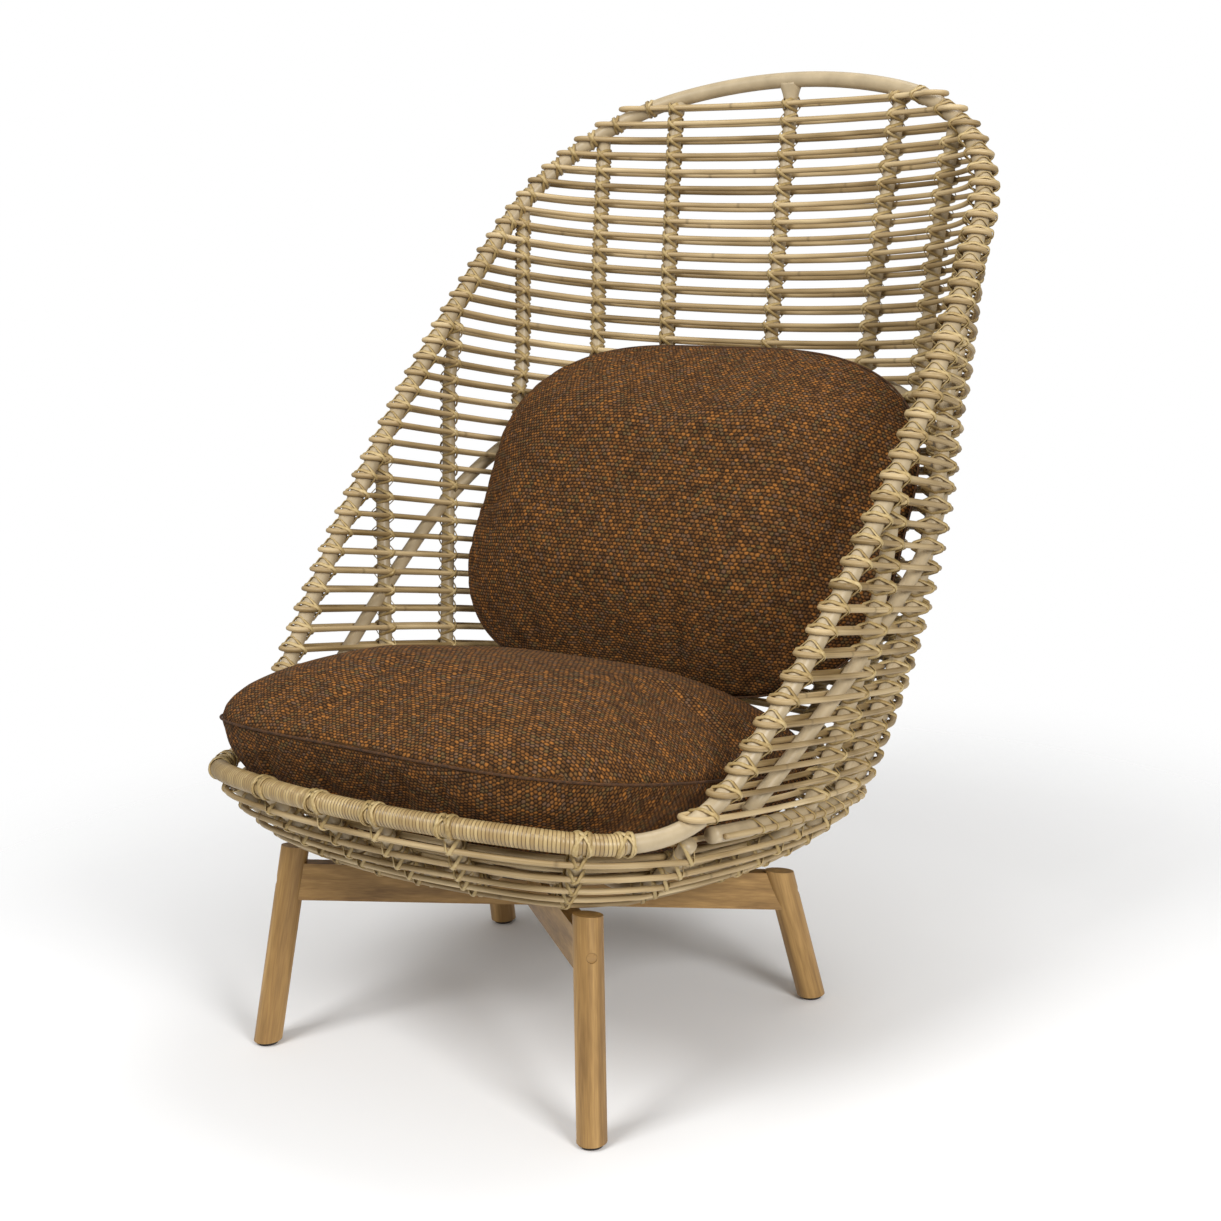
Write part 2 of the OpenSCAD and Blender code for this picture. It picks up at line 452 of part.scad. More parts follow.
// Depth of the wall's rib axis at inset d, and a point of the bowl at outline point p, inset d and depth h
function wall(d) = bowl_depth * (1 - pow(1 - min(1, d / bowl_wall), wall_curve));
function bowl_3d(p, h) = [p[0], ring_y - p[1] * cos(seat_tilt) - h * sin(seat_tilt), ring_z + p[1] * sin(seat_tilt) - h * cos(seat_tilt)];
function wall_d(m) = bowl_wall * (m - 0.15) / (bowl_rows - 0.2);
function wall_out(m, g) = let(d = wall_d(m), n = unit([wall(d + 1) - wall(d - 1), 2])) [d - g * n[0], wall(d) + g * n[1]];
function bowl_row(m, g, from, to) = let(o = wall_out(m, g))
  [for (i = [from:to]) bowl_3d(edge_right[i] + o[0] * edge_normal(i), o[1])];
last = len(edge_right) - 1;
bowl_pair = (rib_d * cos(180 / 8) + cane_d) / 2 + 2 * fit_gap;
function parted(path) = let(n = len(path) - 1, a = unit(path[1] - path[0]), b = unit(path[n - 1] - path[n]))
  [for (i = [0:n]) i == 0 ? path[0] + fit_gap / 2 * a : i == n ? path[n] + fit_gap / 2 * b : path[i]];
function bowl_cane(path) = tube(parted(path), cane_d / 2, [0, 0, 1], 6);
function both(path) = concat(mirrored(path), [for (i = [1:len(path) - 1]) path[i]]);
// A cane row of the bowl in lengths that meet under the ribs' ties: round the back, along the sides, under the front
back_span = 2;
side_span = 5;
bowl_strands = [for (m = [1:bowl_rows], g = [-bowl_pair, bowl_pair]) [m, g]];
module bowl_cane_back() color(cane_colour) solids([for (r = bowl_strands) each [
  bowl_cane(both(bowl_row(r[0], r[1], 0, back_span))),
  bowl_cane(bowl_row(r[0], r[1], back_span, side_span)),
  bowl_cane(mirrored(bowl_row(r[0], r[1], back_span, side_span)))]]);
module bowl_cane_right() color(cane_colour) solids([for (r = bowl_strands)
  bowl_cane(bowl_row(r[0], r[1], side_span, last - side_span))]);
module bowl_cane_left() left() bowl_cane_right();
module bowl_cane_front() color(cane_colour) solids([for (r = bowl_strands)
  bowl_cane(both([for (p = [last:-1:last - side_span]) bowl_row(r[0], r[1], p, p)[0]]))]);

// Ribs of the bowl run down from the ring and meet on the hub plate.
// The boards' middle lies over the middle of the feet.
hub_h = bowl_depth + rib_d / 2 + fit_gap;
spacer_top = hub_h + hub_t + fit_gap;
deck_h = spacer_top + spacer_h;
hub_v = (ring_y - feet_y - deck_h * sin(seat_tilt)) / cos(seat_tilt);
hub_ring = hub_d / 2 - 25;
// Places of the front ribs along the front edge, from its middle
front_s = [45, 147, 303, 441];
// Ribs stand evenly round the hub: one at the back's middle, none at the front's.
rib_turn = 360 / (2 * len(rib_ring) - 1 + 2 * len(front_s));
function edge_at(s) = let(n = len(edge_right)) [for (i = n - 1, l = 0; i > 0 && l <= s;
  l = l + norm(edge_right[i] - edge_right[i - 1]), i = i - 1) let(seg = norm(edge_right[i] - edge_right[i - 1]))
  if (s < l + seg) edge_right[i] + (edge_right[i - 1] - edge_right[i]) * (s - l) / seg][0];
// Inset of a point of the bowl from the outline
function to_line(q, a, b) = let(d = b - a, t = min(1, max(0, ((q - a) * d) / (d * d)))) norm(q - a - t * d);
function inset(q) = let(p = [abs(q[0]), q[1]]) min([for (i = [1:len(edge_right) - 1]) to_line(p, edge_right[i - 1], edge_right[i])]);
// Depth of the front tube's axis under the ring's plane, which dips in the bends
function dip(v) = lookup(v, [for (i = [4:12]) let(p = bend(i / 12), w = (ring_y - p[1]) / cos(seat_tilt))
  [w, (ring_z + w * sin(seat_tilt) - p[2]) / cos(seat_tilt)]]);
rib_steps = [0, 0.1, 0.22, 0.36, 0.52, 0.7, 0.88, 1.04];
function bowl_rib(p, angle, stop_r, h) = let(end = [hub_ring * sin(angle), hub_v - hub_ring * cos(angle)], n = norm(end - p))
  tube([for (d = concat(bowl_wall * rib_steps, [n])) let(q = p + (end - p) * d / n) bowl_3d(q, wall(inset(q)))],
    rib_d / 2, [0, 0, 1], 8, false, drop_cut(p, end, stop_r, h));
function drop_cut(p, end, stop_r, h) = let(q = p + (end - p) * 0.03, t = unit(bowl_3d(q, wall(inset(q))) - bowl_3d(p, 0)),
  u = unit([end[1] - p[1], p[0] - end[0]]), r = unit(bowl_3d(p + u, 0) - bowl_3d(p, 0)))
  stop_at(bowl_3d(p, h), r, -t, stop_r);
ring_room = 1;
module bowl_ribs_back() color(tube_colour) solids([for (j = [-5:5]) 
  bowl_rib(on_row(rows + 1, rib_s(j, rows + 1)), j * rib_turn, ring_d / 2 + ring_room, 0)]);
module bowl_ribs_front() color(tube_colour) solids([for (i = [0:len(front_s) - 1], m = [-1, 1]) let(e = edge_at(front_s[i]))
  bowl_rib([m * e[0], e[1]], 180 - m * (i + 0.5) * rib_turn, front_wrap_r, max(0, dip(e[1])))]);

// Binding wound round the front edge: one ridge for each turn, open at both ends
wrap_from = 7;
binding_path = concat([for (i = [wrap_from:bend_steps - 1]) bend(i / bend_steps)],
  [for (i = [0:edge_steps]) edge_3d(front_a * (1 - i / edge_steps))]);
module edge_binding() {
  path = concat([for (i = [0:len(binding_path) - 2]) binding_path[i]], mirrored(binding_path));
  lengths = [for (i = 0, l = 0; i < len(path); l = i + 1 < len(path) ? l + norm(path[i + 1] - path[i]) : l, i = i + 1) l];
  total = lengths[len(path) - 1];
  turns = floor(total / binding_w);
  points = [for (i = [0:2 * turns]) let(s = total * i / (2 * turns)) [lookup(s, [for (j = [0:len(path) - 1]) [lengths[j], path[j][0]]]),
    lookup(s, [for (j = [0:len(path) - 1]) [lengths[j], path[j][1]]]), lookup(s, [for (j = [0:len(path) - 1]) [lengths[j], path[j][2]]])]];
  radii = [for (i = [0:2 * turns]) front_wrap_r - (i % 2 == 0 ? binding_t * 0.5 : 0)];
  outer = tube(points, radii, [0, 0, 1], 8);
  inner = tube(path, (rim_d / 2 + fit_gap) / cos(180 / 8), [0, 0, 1], 8);
  a = (len(points) - 1) * 8;
  b = len(points) * 8;
  c = b + (len(path) - 1) * 8;
  color(binding_colour) polyhedron(concat(outer[0], inner[0]), concat(quads(len(points), 8, false),
    [for (f = quads(len(path), 8, false)) [f[0] + b, f[2] + b, f[1] + b]],
    [for (j = [0:7]) let(n = (j + 1) % 8) each [[j, n, b + j], [n, b + n, b + j], [a + j, c + j, a + n], [a + n, c + j, c + n]]]));
}

// The legs' frame: two crossed boards under the bowl and four splayed legs, whose tops lie under the bowl's cane
deck_o = bowl_3d([0, hub_v], deck_h);
deck_y = [0, cos(deck_tilt), -sin(deck_tilt)];
deck_n = [0, sin(deck_tilt), cos(deck_tilt)];
leg_top = bowl_depth + bowl_pair + cane_d / 2 + fit_gap;
// A room far larger than the legs' frame, for cuts
room = 1200;
module deck() translate(deck_o) rotate([-deck_tilt, 0, 0]) children();
module under_ring(h) translate(bowl_3d([0, hub_v], h)) rotate([-seat_tilt, 0, 0]) children();
function foot(sx, sy) = [sx * foot_x, feet_y + sy * foot_y, 0];
function leg_up(sx, sy) = [-sx * tan(lean_x), -sy * tan(lean_y), 1];
// Place of a leg's axis in the boards' own plane, half a board below the deck
function leg_on_deck(sx, sy) = let(f = foot(sx, sy), u = leg_up(sx, sy),
  p = f + u * (((deck_o - board_h / 2 * deck_n - f) * deck_n) / (u * deck_n))) [p[0], (p - deck_o) * deck_y];
function leg_turn(sx, sy) = let(a = leg_on_deck(sx, sy), b = leg_on_deck(-sx, -sy)) atan2(a[1] - b[1], a[0] - b[0]);
module leg_rod(sx, sy, d, from, to) {
  u = unit(leg_up(sx, sy));
  translate(foot(sx, sy)) rotate([0, acos(u[2]), atan2(u[1], u[0])]) rotate([0, 0, 90]) translate([0, 0, from])
    cylinder(d = d, h = to - from, $fn = 48);
}
module dowel_at(sx, sy, d, extra) deck() translate([leg_on_deck(sx, sy)[0], leg_on_deck(sx, sy)[1], -board_h / 2])
  rotate([0, 0, leg_turn(sx, sy)]) translate([-leg_d / 2 - dowel_in - extra, 0, 0]) rotate([0, 90, 0])
    cylinder(d = d, h = leg_d + dowel_in + 2 * extra - 1, $fn = 32);
module leg(sx, sy) color(wood_colour) difference() {
  leg_rod(sx, sy, leg_d, -40, 420);
  under_ring(leg_top) translate([-room / 2, -room / 2, 0]) cube([room, room, room]);
  translate([-room / 2, -room / 2, glide_h - room]) cube([room, room, room]);
  dowel_at(sx, sy, dowel_d + 2 * fit_gap, 10);
}
module leg_front_left() leg(-1, -1);
module leg_front_right() leg(1, -1);
module leg_back_left() leg(-1, 1);
module leg_back_right() leg(1, 1);
module board(sx, sy) {
  a = leg_on_deck(sx, sy);
  b = leg_on_deck(-sx, -sy);
  color(wood_colour) difference() {
    deck() translate([a[0], a[1], -board_h]) rotate([0, 0, atan2(b[1] - a[1], b[0] - a[0])])
      translate([0, -board_t / 2, 0]) cube([norm(b - a), board_t, board_h]);
    for (s = [-1, 1]) leg_rod(s * sx, s * sy, leg_d + 2 * fit_gap, -40, 420);
    for (s = [-1, 1]) dowel_at(s * sx, s * sy, dowel_d + 2 * fit_gap, 0.5);
    screw_holes(screw_d + 2 * fit_gap, spacer_top, spacer_h + screw_in + fit_gap);
    children();
  }
}
cross_at = let(a = leg_on_deck(1, 1), b = leg_on_deck(-1, -1)) a[1] + (b[1] - a[1]) * a[0] / (a[0] - b[0]);
module lap(sx, top) {
  a = leg_on_deck(sx, 1);
  b = leg_on_deck(-sx, -1);
  deck() translate([0, cross_at, top ? -board_h / 2 : -board_h - 1]) rotate([0, 0, atan2(a[1] - b[1], a[0] - b[0])])
    translate([-100, -board_t / 2 - fit_gap, 0]) cube([200, board_t + 2 * fit_gap, board_h / 2 + 1]);
}
module board_a() board(1, 1) lap(-1, true);
module board_b() board(-1, 1) lap(1, false);
module glides() color("#2b2724") for (sx = [-1, 1], sy = [-1, 1]) let(p = foot(sx, sy) + glide_h / 2 * leg_up(sx, sy))
  translate([p[0], p[1], 0]) cylinder(d = glide_d, h = glide_h, $fn = 32);
module dowels() color("#b98f5c") for (sx = [-1, 1], sy = [-1, 1]) dowel_at(sx, sy, dowel_d, 0);

// The basket's fixing: a hub plate under the ribs, a wedge-shaped spacer and four screws down into the boards
screw_d = 6;
screw_head = 12;
head_h = 4;
screw_in = 22;
module screw_holes(d, h, length) under_ring(h) for (s = [-1, 1], a = [0, 180])
  rotate([0, 0, leg_turn(s, 1) + a]) translate([hub_d * 0.2, 0, -length]) cylinder(d = d, h = length, $fn = 24);
module hub_plate() color(tube_colour) difference() {
  under_ring(hub_h + hub_t) cylinder(d = hub_d, h = hub_t, $fn = 64);
  screw_holes(screw_d + 2 * fit_gap, hub_h - 1, hub_t + 2);
}
module hub_spacer() color("#2b2724") difference() {
  under_ring(spacer_top + 2 * spacer_h) cylinder(d = hub_d * 0.7, h = 2 * spacer_h, $fn = 64);
  deck() translate([-room / 2, -room / 2, -room]) cube([room, room, room]);
  screw_holes(screw_d + 2 * fit_gap, spacer_top - 1, 3 * spacer_h);
}
module hub_screws() color("silver") {
  screw_holes(screw_d, hub_h, hub_t + fit_gap + spacer_h + screw_in);
  screw_holes(screw_head, hub_h - head_h, head_h);
}

// Cushions: crowned pads on a rounded-square outline whose sides are drawn in between pointed corners
function outline(w, l, a, square, draw) = let(c = cos(a), s = sin(a), m = pow(pow(abs(c), square) + pow(abs(s), square), -1 / square))
  m * (1 - draw * pow(cos(2 * a), 2)) * [w / 2 * c, l / 2 * s];
function crown(r) = pow(1 - pow(r, 2.6), 0.62);
// Levels are shares of the outline; low and high give the height of a point p at level r.
levels = [0.24, 0.46, 0.66, 0.82, 0.93, 0.985, 1];
function pad(outer, low, high) = let(n = len(outer), m = len(levels), rings = 2 * m - 1)
  [concat([for (r = [0:rings - 1], i = [0:n - 1]) let(e = levels[min(r, 2 * m - 2 - r)], p = e * outer[i])
      [p[0], p[1], r < m ? low(p, e) : high(p, e)]], [[0, 0, low([0, 0], 0)], [0, 0, high([0, 0], 0)]]),
    concat(quads(rings, n, false), [for (i = [0:n - 1]) [rings * n, i, (i + 1) % n]],
      [for (i = [0:n - 1]) [rings * n + 1, (rings - 1) * n + (i + 1) % n, (rings - 1) * n + i]])];
around = [for (i = [0:39]) 360 * i / 40];

// The seat cushion fills the bowl: its underside follows the ribs and rises to the seam over the ring.
bowl_floor = bowl_depth - rib_d / 2 - fit_gap;
function seam_h(p) = seat_rise - p[1] * tan(seat_slope);
module seat_cushion() color(cloth_colour) translate(bowl_3d([0, ring_depth - seat_back], 0)) rotate([-seat_tilt, 0, 0])
  solids([pad([for (a = around) outline(seat_w, seat_l, a, 3.3, 0.04)],
    function(p, e) seam_h(p) - (seam_h(p) + bowl_floor) * pow(1 - pow(e, 4), 0.8),
    function(p, e) seam_h(p) + seat_crown * crown(e))]);
module back_cushion() color(cloth_colour) translate([0, ring_y + front_y + pillow_back, ring_z + pillow_rise])
  rotate([90 - pillow_lean, 0, 0]) solids([pad([for (a = around) outline(pillow_w, pillow_h, a, 2.8, 0.03)],
    function(p, e) -pillow_t / 2 * crown(e), function(p, e) pillow_t / 2 * crown(e))]);

rim_hoop();
seat_ring();
support_hoop();
back_ribs();
side_ribs_left();
side_ribs_right();
bowl_ribs_back();
bowl_ribs_front();
edge_binding();
cane_back_upper();
cane_back_lower();
cane_corner_left();
cane_corner_right();
cane_side_left();
cane_side_right();
cane_loops_left();
cane_loops_right();
ring_cane();
bowl_cane_back();
bowl_cane_left();
bowl_cane_right();
bowl_cane_front();
hub_plate();
hub_spacer();
hub_screws();
board_a();
board_b();
leg_front_left();
leg_front_right();
leg_back_left();
leg_back_right();
glides();
dowels();
seat_cushion();
back_cushion();
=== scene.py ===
from math import acos, asin, atan2, ceil, cos, pi, radians, sin, sqrt, tan

import bpy
import numpy as np
from mathutils import Matrix, Vector


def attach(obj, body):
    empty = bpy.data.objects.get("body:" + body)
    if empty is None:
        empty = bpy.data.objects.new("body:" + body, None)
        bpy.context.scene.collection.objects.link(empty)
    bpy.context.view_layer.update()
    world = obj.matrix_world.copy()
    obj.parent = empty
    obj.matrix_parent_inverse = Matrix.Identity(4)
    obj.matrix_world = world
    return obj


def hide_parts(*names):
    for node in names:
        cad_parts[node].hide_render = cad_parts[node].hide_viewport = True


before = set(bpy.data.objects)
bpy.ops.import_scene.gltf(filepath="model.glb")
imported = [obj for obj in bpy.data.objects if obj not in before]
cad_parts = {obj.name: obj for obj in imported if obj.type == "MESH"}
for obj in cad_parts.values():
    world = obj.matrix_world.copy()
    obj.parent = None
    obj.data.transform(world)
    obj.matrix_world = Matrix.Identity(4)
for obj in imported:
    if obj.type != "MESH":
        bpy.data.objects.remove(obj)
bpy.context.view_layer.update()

# ---- Rim -----------------------------------------------------------------------------------------
# One steel tube, 22 mm, bent to a tall oval whose foot runs on into the seat's front edge.
# It is welded to the centre rib at the crown and lacquered in a sand beige that matches the cane.
ring_depth, seat_h, seat_tilt, ring_y = 821, 392, radians(10.7), 299.224
rim_r, rim_slope, rim_len, rim_w, rim_wide_at = 11, radians(46), 1131, 839, 518
crown_r, shoulder_r, rim_side_r, front_r, front_x = 652, 294, 2300, 720, 215
corner_back, corner_rise, corner_pull, bend_q = 227, 25, 125, 60
ring_z = seat_h - ring_depth * sin(seat_tilt)
rim_foot = np.array([-(ring_depth - corner_back) * cos(seat_tilt),
                     ring_z + (ring_depth - corner_back) * sin(seat_tilt) + corner_rise])
rng = np.random.default_rng(7)


def linear(code):
    """sRGB hex to linear RGBA."""
    rgb = np.array([int(code[i:i + 2], 16) for i in (1, 3, 5)]) / 255
    return (*np.where(rgb <= 0.04045, rgb / 12.92, ((rgb + 0.055) / 1.055) ** 2.4).tolist(), 1.0)


def put(tree, node, values):
    """Fills a node's inputs. A socket, or a node's first output, is linked; anything else is set."""
    for key, value in values.items():
        value = value.outputs[0] if isinstance(value, bpy.types.Node) else value
        if isinstance(value, bpy.types.NodeSocket):
            tree.links.new(value, node.inputs[key])
        else:
            node.inputs[key].default_value = value
    return node


def add(tree, kind, values=None, **settings):
    """Adds a shader node: settings are its properties, values its inputs."""
    made = tree.nodes.new("ShaderNode" + kind)
    for key, value in settings.items():
        setattr(made, key, value)
    return put(tree, made, values or {})


def ramp(tree, factor, *stops):
    """A colour ramp with (position, hex) stops."""
    made = add(tree, "ValToRGB", {"Fac": factor})
    line = made.color_ramp.elements
    for i, (place, code) in enumerate(stops):
        stop = line[i] if i < 2 else line.new(place)
        stop.position = place
        stop.color = linear(code)
    return made


def material(name, **values):
    """A new material with its Principled shader set, as (material, tree, shader)."""
    made = bpy.data.materials.new(name)
    made.use_nodes = True
    tree = made.node_tree
    values = {key.replace("_", " "): value for key, value in values.items()}
    return made, tree, put(tree, tree.nodes["Principled BSDF"], values)


def surface(tree, shader, colour, height, strength, distance):
    """Gives a shader its colour, and a bump from a height."""
    bump = add(tree, "Bump", {"Strength": strength, "Distance": distance, "Height": height})
    put(tree, shader, {"Base Color": colour, "Normal": bump})


def unit(v):
    """v over its own length, along the last axis."""
    return v / np.linalg.norm(v, axis=-1, keepdims=True)


def sweep(path, side, radius, sides=12, closed=False, wander=0.0, phase=None):
    """A tube of rings: point j of ring i is path[i] + r (cos a n + sin a (t x n)), where t is the path's
    heading, n the part of side across it and a = 2 pi j / sides. radius is a number, one a ring or a grid."""
    path = np.asarray(path, float)
    ahead = np.roll(path, -1, 0) - np.roll(path, 1, 0)
    if not closed:
        ahead[0], ahead[-1] = path[1] - path[0], path[-1] - path[-2]
    t = unit(ahead)
    n = unit(np.asarray(side, float) - t * (t @ np.asarray(side, float))[:, None])
    b = np.cross(t, n)
    if wander:
        u = np.arange(len(path)) / len(path) * 2 * pi
        wave = sum(np.sin(u[:, None] * q + rng.random(2) * 6.3) / sqrt(q) for q in (5, 11, 23)) * wander
        path = path + n * wave[:, :1] + b * wave[:, 1:]
    a = 2 * pi * np.arange(sides) / sides
    r = np.broadcast_to(radius if np.ndim(radius) == 2 else np.reshape(radius, (-1, 1)), (len(path), sides))
    ring = np.cos(a)[None, :, None] * n[:, None] + np.sin(a)[None, :, None] * b[:, None]
    return (path[:, None] + r[..., None] * ring)[None], closed


def build(name, batches, mat, slot, *nodes):
    """One mesh from batches of K closed skins, each n rings of m points: quads between neighbouring rings and
    a flat face over each open end. U runs along a skin in metres, V once round it; each has a random tone."""
    places, corners, counts, uv, tones, base = [], [], [], [], [], 0
    for at, closed in batches:
        k_n, n, m = at.shape[:3]
        middle = at.mean(2)
        u = np.cumsum(np.linalg.norm(np.roll(middle, -1, 1) - middle, axis=2), 1) / 1000
        u = np.concatenate([np.zeros((k_n, 1)), u], 1)
        k, i, j = np.meshgrid(np.arange(k_n), np.arange(n if closed else n - 1), np.arange(m), indexing="ij")
        ii, jj = np.stack([i, i, i + 1, i + 1], -1), np.stack([j, j + 1, j + 1, j], -1)
        corners.append((base + (k[..., None] * n + ii % n) * m + jj % m).ravel())
        counts.append(np.full(k.size, 4))
        uv.append(np.stack([u[k[..., None], ii], jj / m], -1).reshape(-1, 2))
        for end, order in () if closed else ((0, np.arange(m)[::-1]), (n - 1, np.arange(m))):
            corners.append((base + (np.arange(k_n)[:, None] * n + end) * m + order).ravel())
            counts.append(np.full(k_n, m))
            uv.append(np.stack([np.repeat(u[:, end], m), np.tile(order / m, k_n)], -1))
        places.append(at.reshape(-1, 3) / 1000)
        tones.append(np.repeat(rng.random(k_n), n * m))
        base += k_n * n * m
    places, corners, counts = np.concatenate(places), np.concatenate(corners), np.concatenate(counts)
    mesh = bpy.data.meshes.new(name)
    mesh.vertices.add(len(places))
    mesh.vertices.foreach_set("co", places.astype(np.float32).ravel())
    mesh.loops.add(len(corners))
    mesh.loops.foreach_set("vertex_index", corners.astype(np.int32))
    mesh.polygons.add(len(counts))
    starts = np.concatenate([[0], np.cumsum(counts)[:-1]])
    mesh.polygons.foreach_set("loop_start", starts.astype(np.int32))
    mesh.polygons.foreach_set("use_smooth", np.ones(len(counts), bool))
    mesh.update(calc_edges=True)
    layer = mesh.uv_layers.new(name="UVMap").data
    layer.foreach_set("uv", np.concatenate(uv).astype(np.float32).ravel())
    kept = mesh.attributes.new("tone", "FLOAT", "POINT").data
    kept.foreach_set("value", np.concatenate(tones).astype(np.float32))
    made = bpy.data.objects.new(name, mesh)
    bpy.context.scene.collection.objects.link(made)
    made.data.materials.append(mat)
    if nodes:
        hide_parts(*nodes)
    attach(made, "root")
    return made


def meet(c1, r1, c2, r2):
    """The left crossing of two circles."""
    c1, c2 = np.array(c1, float), np.array(c2, float)
    d = c2 - c1
    n = np.linalg.norm(d)
    a = (r1 * r1 - r2 * r2 + n * n) / (2 * n)
    u = d / n
    return c1 + a * u + sqrt(r1 * r1 - a * a) * np.array([-u[1], u[0]])


crown_c = (0, rim_len - crown_r)
side_c = (rim_w / 2 - rim_side_r, rim_wide_at)
shoulder_c = meet(side_c, rim_side_r - shoulder_r, crown_c, crown_r - shoulder_r)
crown_a = atan2(shoulder_c[0] - crown_c[0], shoulder_c[1] - crown_c[1])
side_a = atan2(shoulder_c[1] - side_c[1], shoulder_c[0] - side_c[0])
crown_q = crown_c[1] + crown_r * cos(crown_a)
shoulder_q = side_c[1] + rim_side_r * sin(side_a)
foot_a = asin((bend_q - side_c[1]) / rim_side_r)
front_v = ring_depth - front_r + sqrt(front_r ** 2 - front_x ** 2)
front_a = asin(front_x / front_r)


def rim_arc(q):
    """The rim at q along its slope, from its three tangent arcs: half width, and turn of the heading."""
    if q >= crown_q:
        x = sqrt(max(0, crown_r ** 2 - (q - crown_c[1]) ** 2))
        return x, acos(min(1, x / crown_r))
    if q >= shoulder_q:
        x = shoulder_c[0] + sqrt(shoulder_r ** 2 - (q - shoulder_c[1]) ** 2)
        return x, acos(min(1, (x - shoulder_c[0]) / shoulder_r))
    return side_c[0] + sqrt(rim_side_r ** 2 - (q - side_c[1]) ** 2), asin((q - side_c[1]) / rim_side_r)


def rim_at(x, q):
    """Point of the rim's sloping plane, from the ring's back."""
    return np.stack([x, rim_foot[0] + q * cos(rim_slope), rim_foot[1] + q * sin(rim_slope)], -1)


def ring_at(x, v):
    """Point of the seat ring's plane, v in front of the ring's back."""
    return np.stack([x, -v * cos(seat_tilt), ring_z + v * sin(seat_tilt)], -1)


bend_x, turn_0 = rim_arc(bend_q)
bend_ends = (rim_at(bend_x, bend_q), ring_at(front_x, front_v))
bend_ways = (np.array([sin(turn_0), -cos(turn_0) * cos(rim_slope), -cos(turn_0) * sin(rim_slope)]),
             np.array([cos(front_a), sin(front_a) * cos(seat_tilt), -sin(front_a) * sin(seat_tilt)]))


def bend_at(t):
    """The bend at a front corner: a cubic from the rim's foot to the front edge, t from 0 to 1."""
    t = np.asarray(t, float)[..., None]
    a, d = bend_ends
    b, c = a + corner_pull * bend_ways[0], d + corner_pull * bend_ways[1]
    return (1 - t) ** 3 * a + 3 * t * (1 - t) ** 2 * b + 3 * t * t * (1 - t) * c + t ** 3 * d


def edge_at(a):
    """The front edge: an arc round the seat's middle, a from it."""
    return ring_at(front_r * np.sin(a), ring_depth - front_r + front_r * np.cos(a))


def flip(path):
    """The path mirrored to the other side and run the other way."""
    return (np.asarray(path) * [-1, 1, 1])[::-1]


shift = np.array([0, ring_y, 0])
arc_1 = np.linspace(0, crown_a, 14)[:-1]
arc_2 = np.linspace(pi / 2 - crown_a, side_a, 24)[:-1]
arc_3 = np.linspace(side_a, foot_a, 24)[:-1]
rim_half = np.concatenate([
    rim_at(crown_r * np.sin(arc_1), crown_c[1] + crown_r * np.cos(arc_1)),
    rim_at(shoulder_c[0] + shoulder_r * np.cos(arc_2), shoulder_c[1] + shoulder_r * np.sin(arc_2)),
    rim_at(side_c[0] + rim_side_r * np.cos(arc_3), side_c[1] + rim_side_r * np.sin(arc_3)),
    bend_at(np.linspace(0, 1, 25)[:-1]), edge_at(front_a * np.linspace(1, 0, 11))]) + shift
rim_side = [0, -sin(rim_slope), cos(rim_slope)]

# Sprayed lacquer on steel: an even sand beige with a soft sheen and a faint orange-peel.
lacquer, tree, shader = material("lacquered_steel_tube", Roughness=0.42, IOR=1.5)
spots = add(tree, "TexNoise", {"Vector": add(tree, "TexCoord").outputs["Object"], "Scale": 40, "Detail": 4})
surface(tree, shader, ramp(tree, spots, (0.3, "#ae9c7c"), (0.7, "#c0ad8b")), spots, 0.12, 0.0004)

build("rim_tube", [sweep(np.concatenate([rim_half, flip(rim_half)[1:-1]]), rim_side, rim_r, 20, True)],
      lacquer, "tube", "rim_hoop")

# ---- Cane rows -----------------------------------------------------------------------------------
# Each row of the basket is one peeled cane, 7 to 8 mm thick. It runs round behind the ribs, turns back round
# the rim in a hairpin and returns in front of them. The canes differ in tone and none is quite straight.
cane_r, gap, clasp, hairpin_room = 3.7, 0.3, 15.3, 0.8
cane_swell, cane_wave, cane_wander = 0.03, 0.21, 0.22
back_len, row_pitch, recline = 937, 24.6, radians(12.4)
rows = int(back_len / row_pitch + 0.5)
step = back_len / rows
row_flare, flared, top_settle, settled = radians(5.8), 0.71, radians(10.9), 0.24
straight_row, top_turn, side_past, side_back, past_growth = 19, radians(20), 85, 300, 1.4
corner_r, side_r, top_corner_r, corner_swell = 270, 1200, 150, 50


def smooth(a):
    """Cubic ease from 0 to 1."""
    return a * a * (3 - 2 * a)


def share(k):
    """Share of the rows above row k."""
    return min(1, max(0, (k - 1) / rows))


def spine(k):
    """Row k's place (y, z) on the centre rib; row rows + 1 lies on the seat ring."""
    s = (rows + 1 - k) * step
    return np.array([s * sin(recline), ring_z + s * cos(recline)])


def tilt(k):
    """Tilt of row k's plane: the ring's, plus a flare that the top rows give up again."""
    return (seat_tilt + row_flare * smooth(min(1, max(0, (rows + 1 - k) / (rows * flared))))
            - top_settle * (1 - min(1, share(k) / settled)) ** 2)


def reach_to(k, p, slope):
    """Distance in row k's plane from the centre rib to a sloping plane through p."""
    c = spine(k)
    return (p[1] - c[1] - (p[0] - c[0]) * tan(slope)) / (sin(tilt(k)) + cos(tilt(k)) * tan(slope))


def rim_q(k):
    """Where row k's plane meets the rim, along the rim's slope."""
    return (spine(k)[1] + reach_to(k, rim_foot, rim_slope) * sin(tilt(k)) - rim_foot[1]) / sin(rim_slope)


def in_row(k, p):
    """A direction or point in row k's own frame: across, forward and up."""
    s, c = sin(tilt(k)), cos(tilt(k))
    return np.array([p[0], p[2] * s - p[1] * c, p[1] * s + p[2] * c])


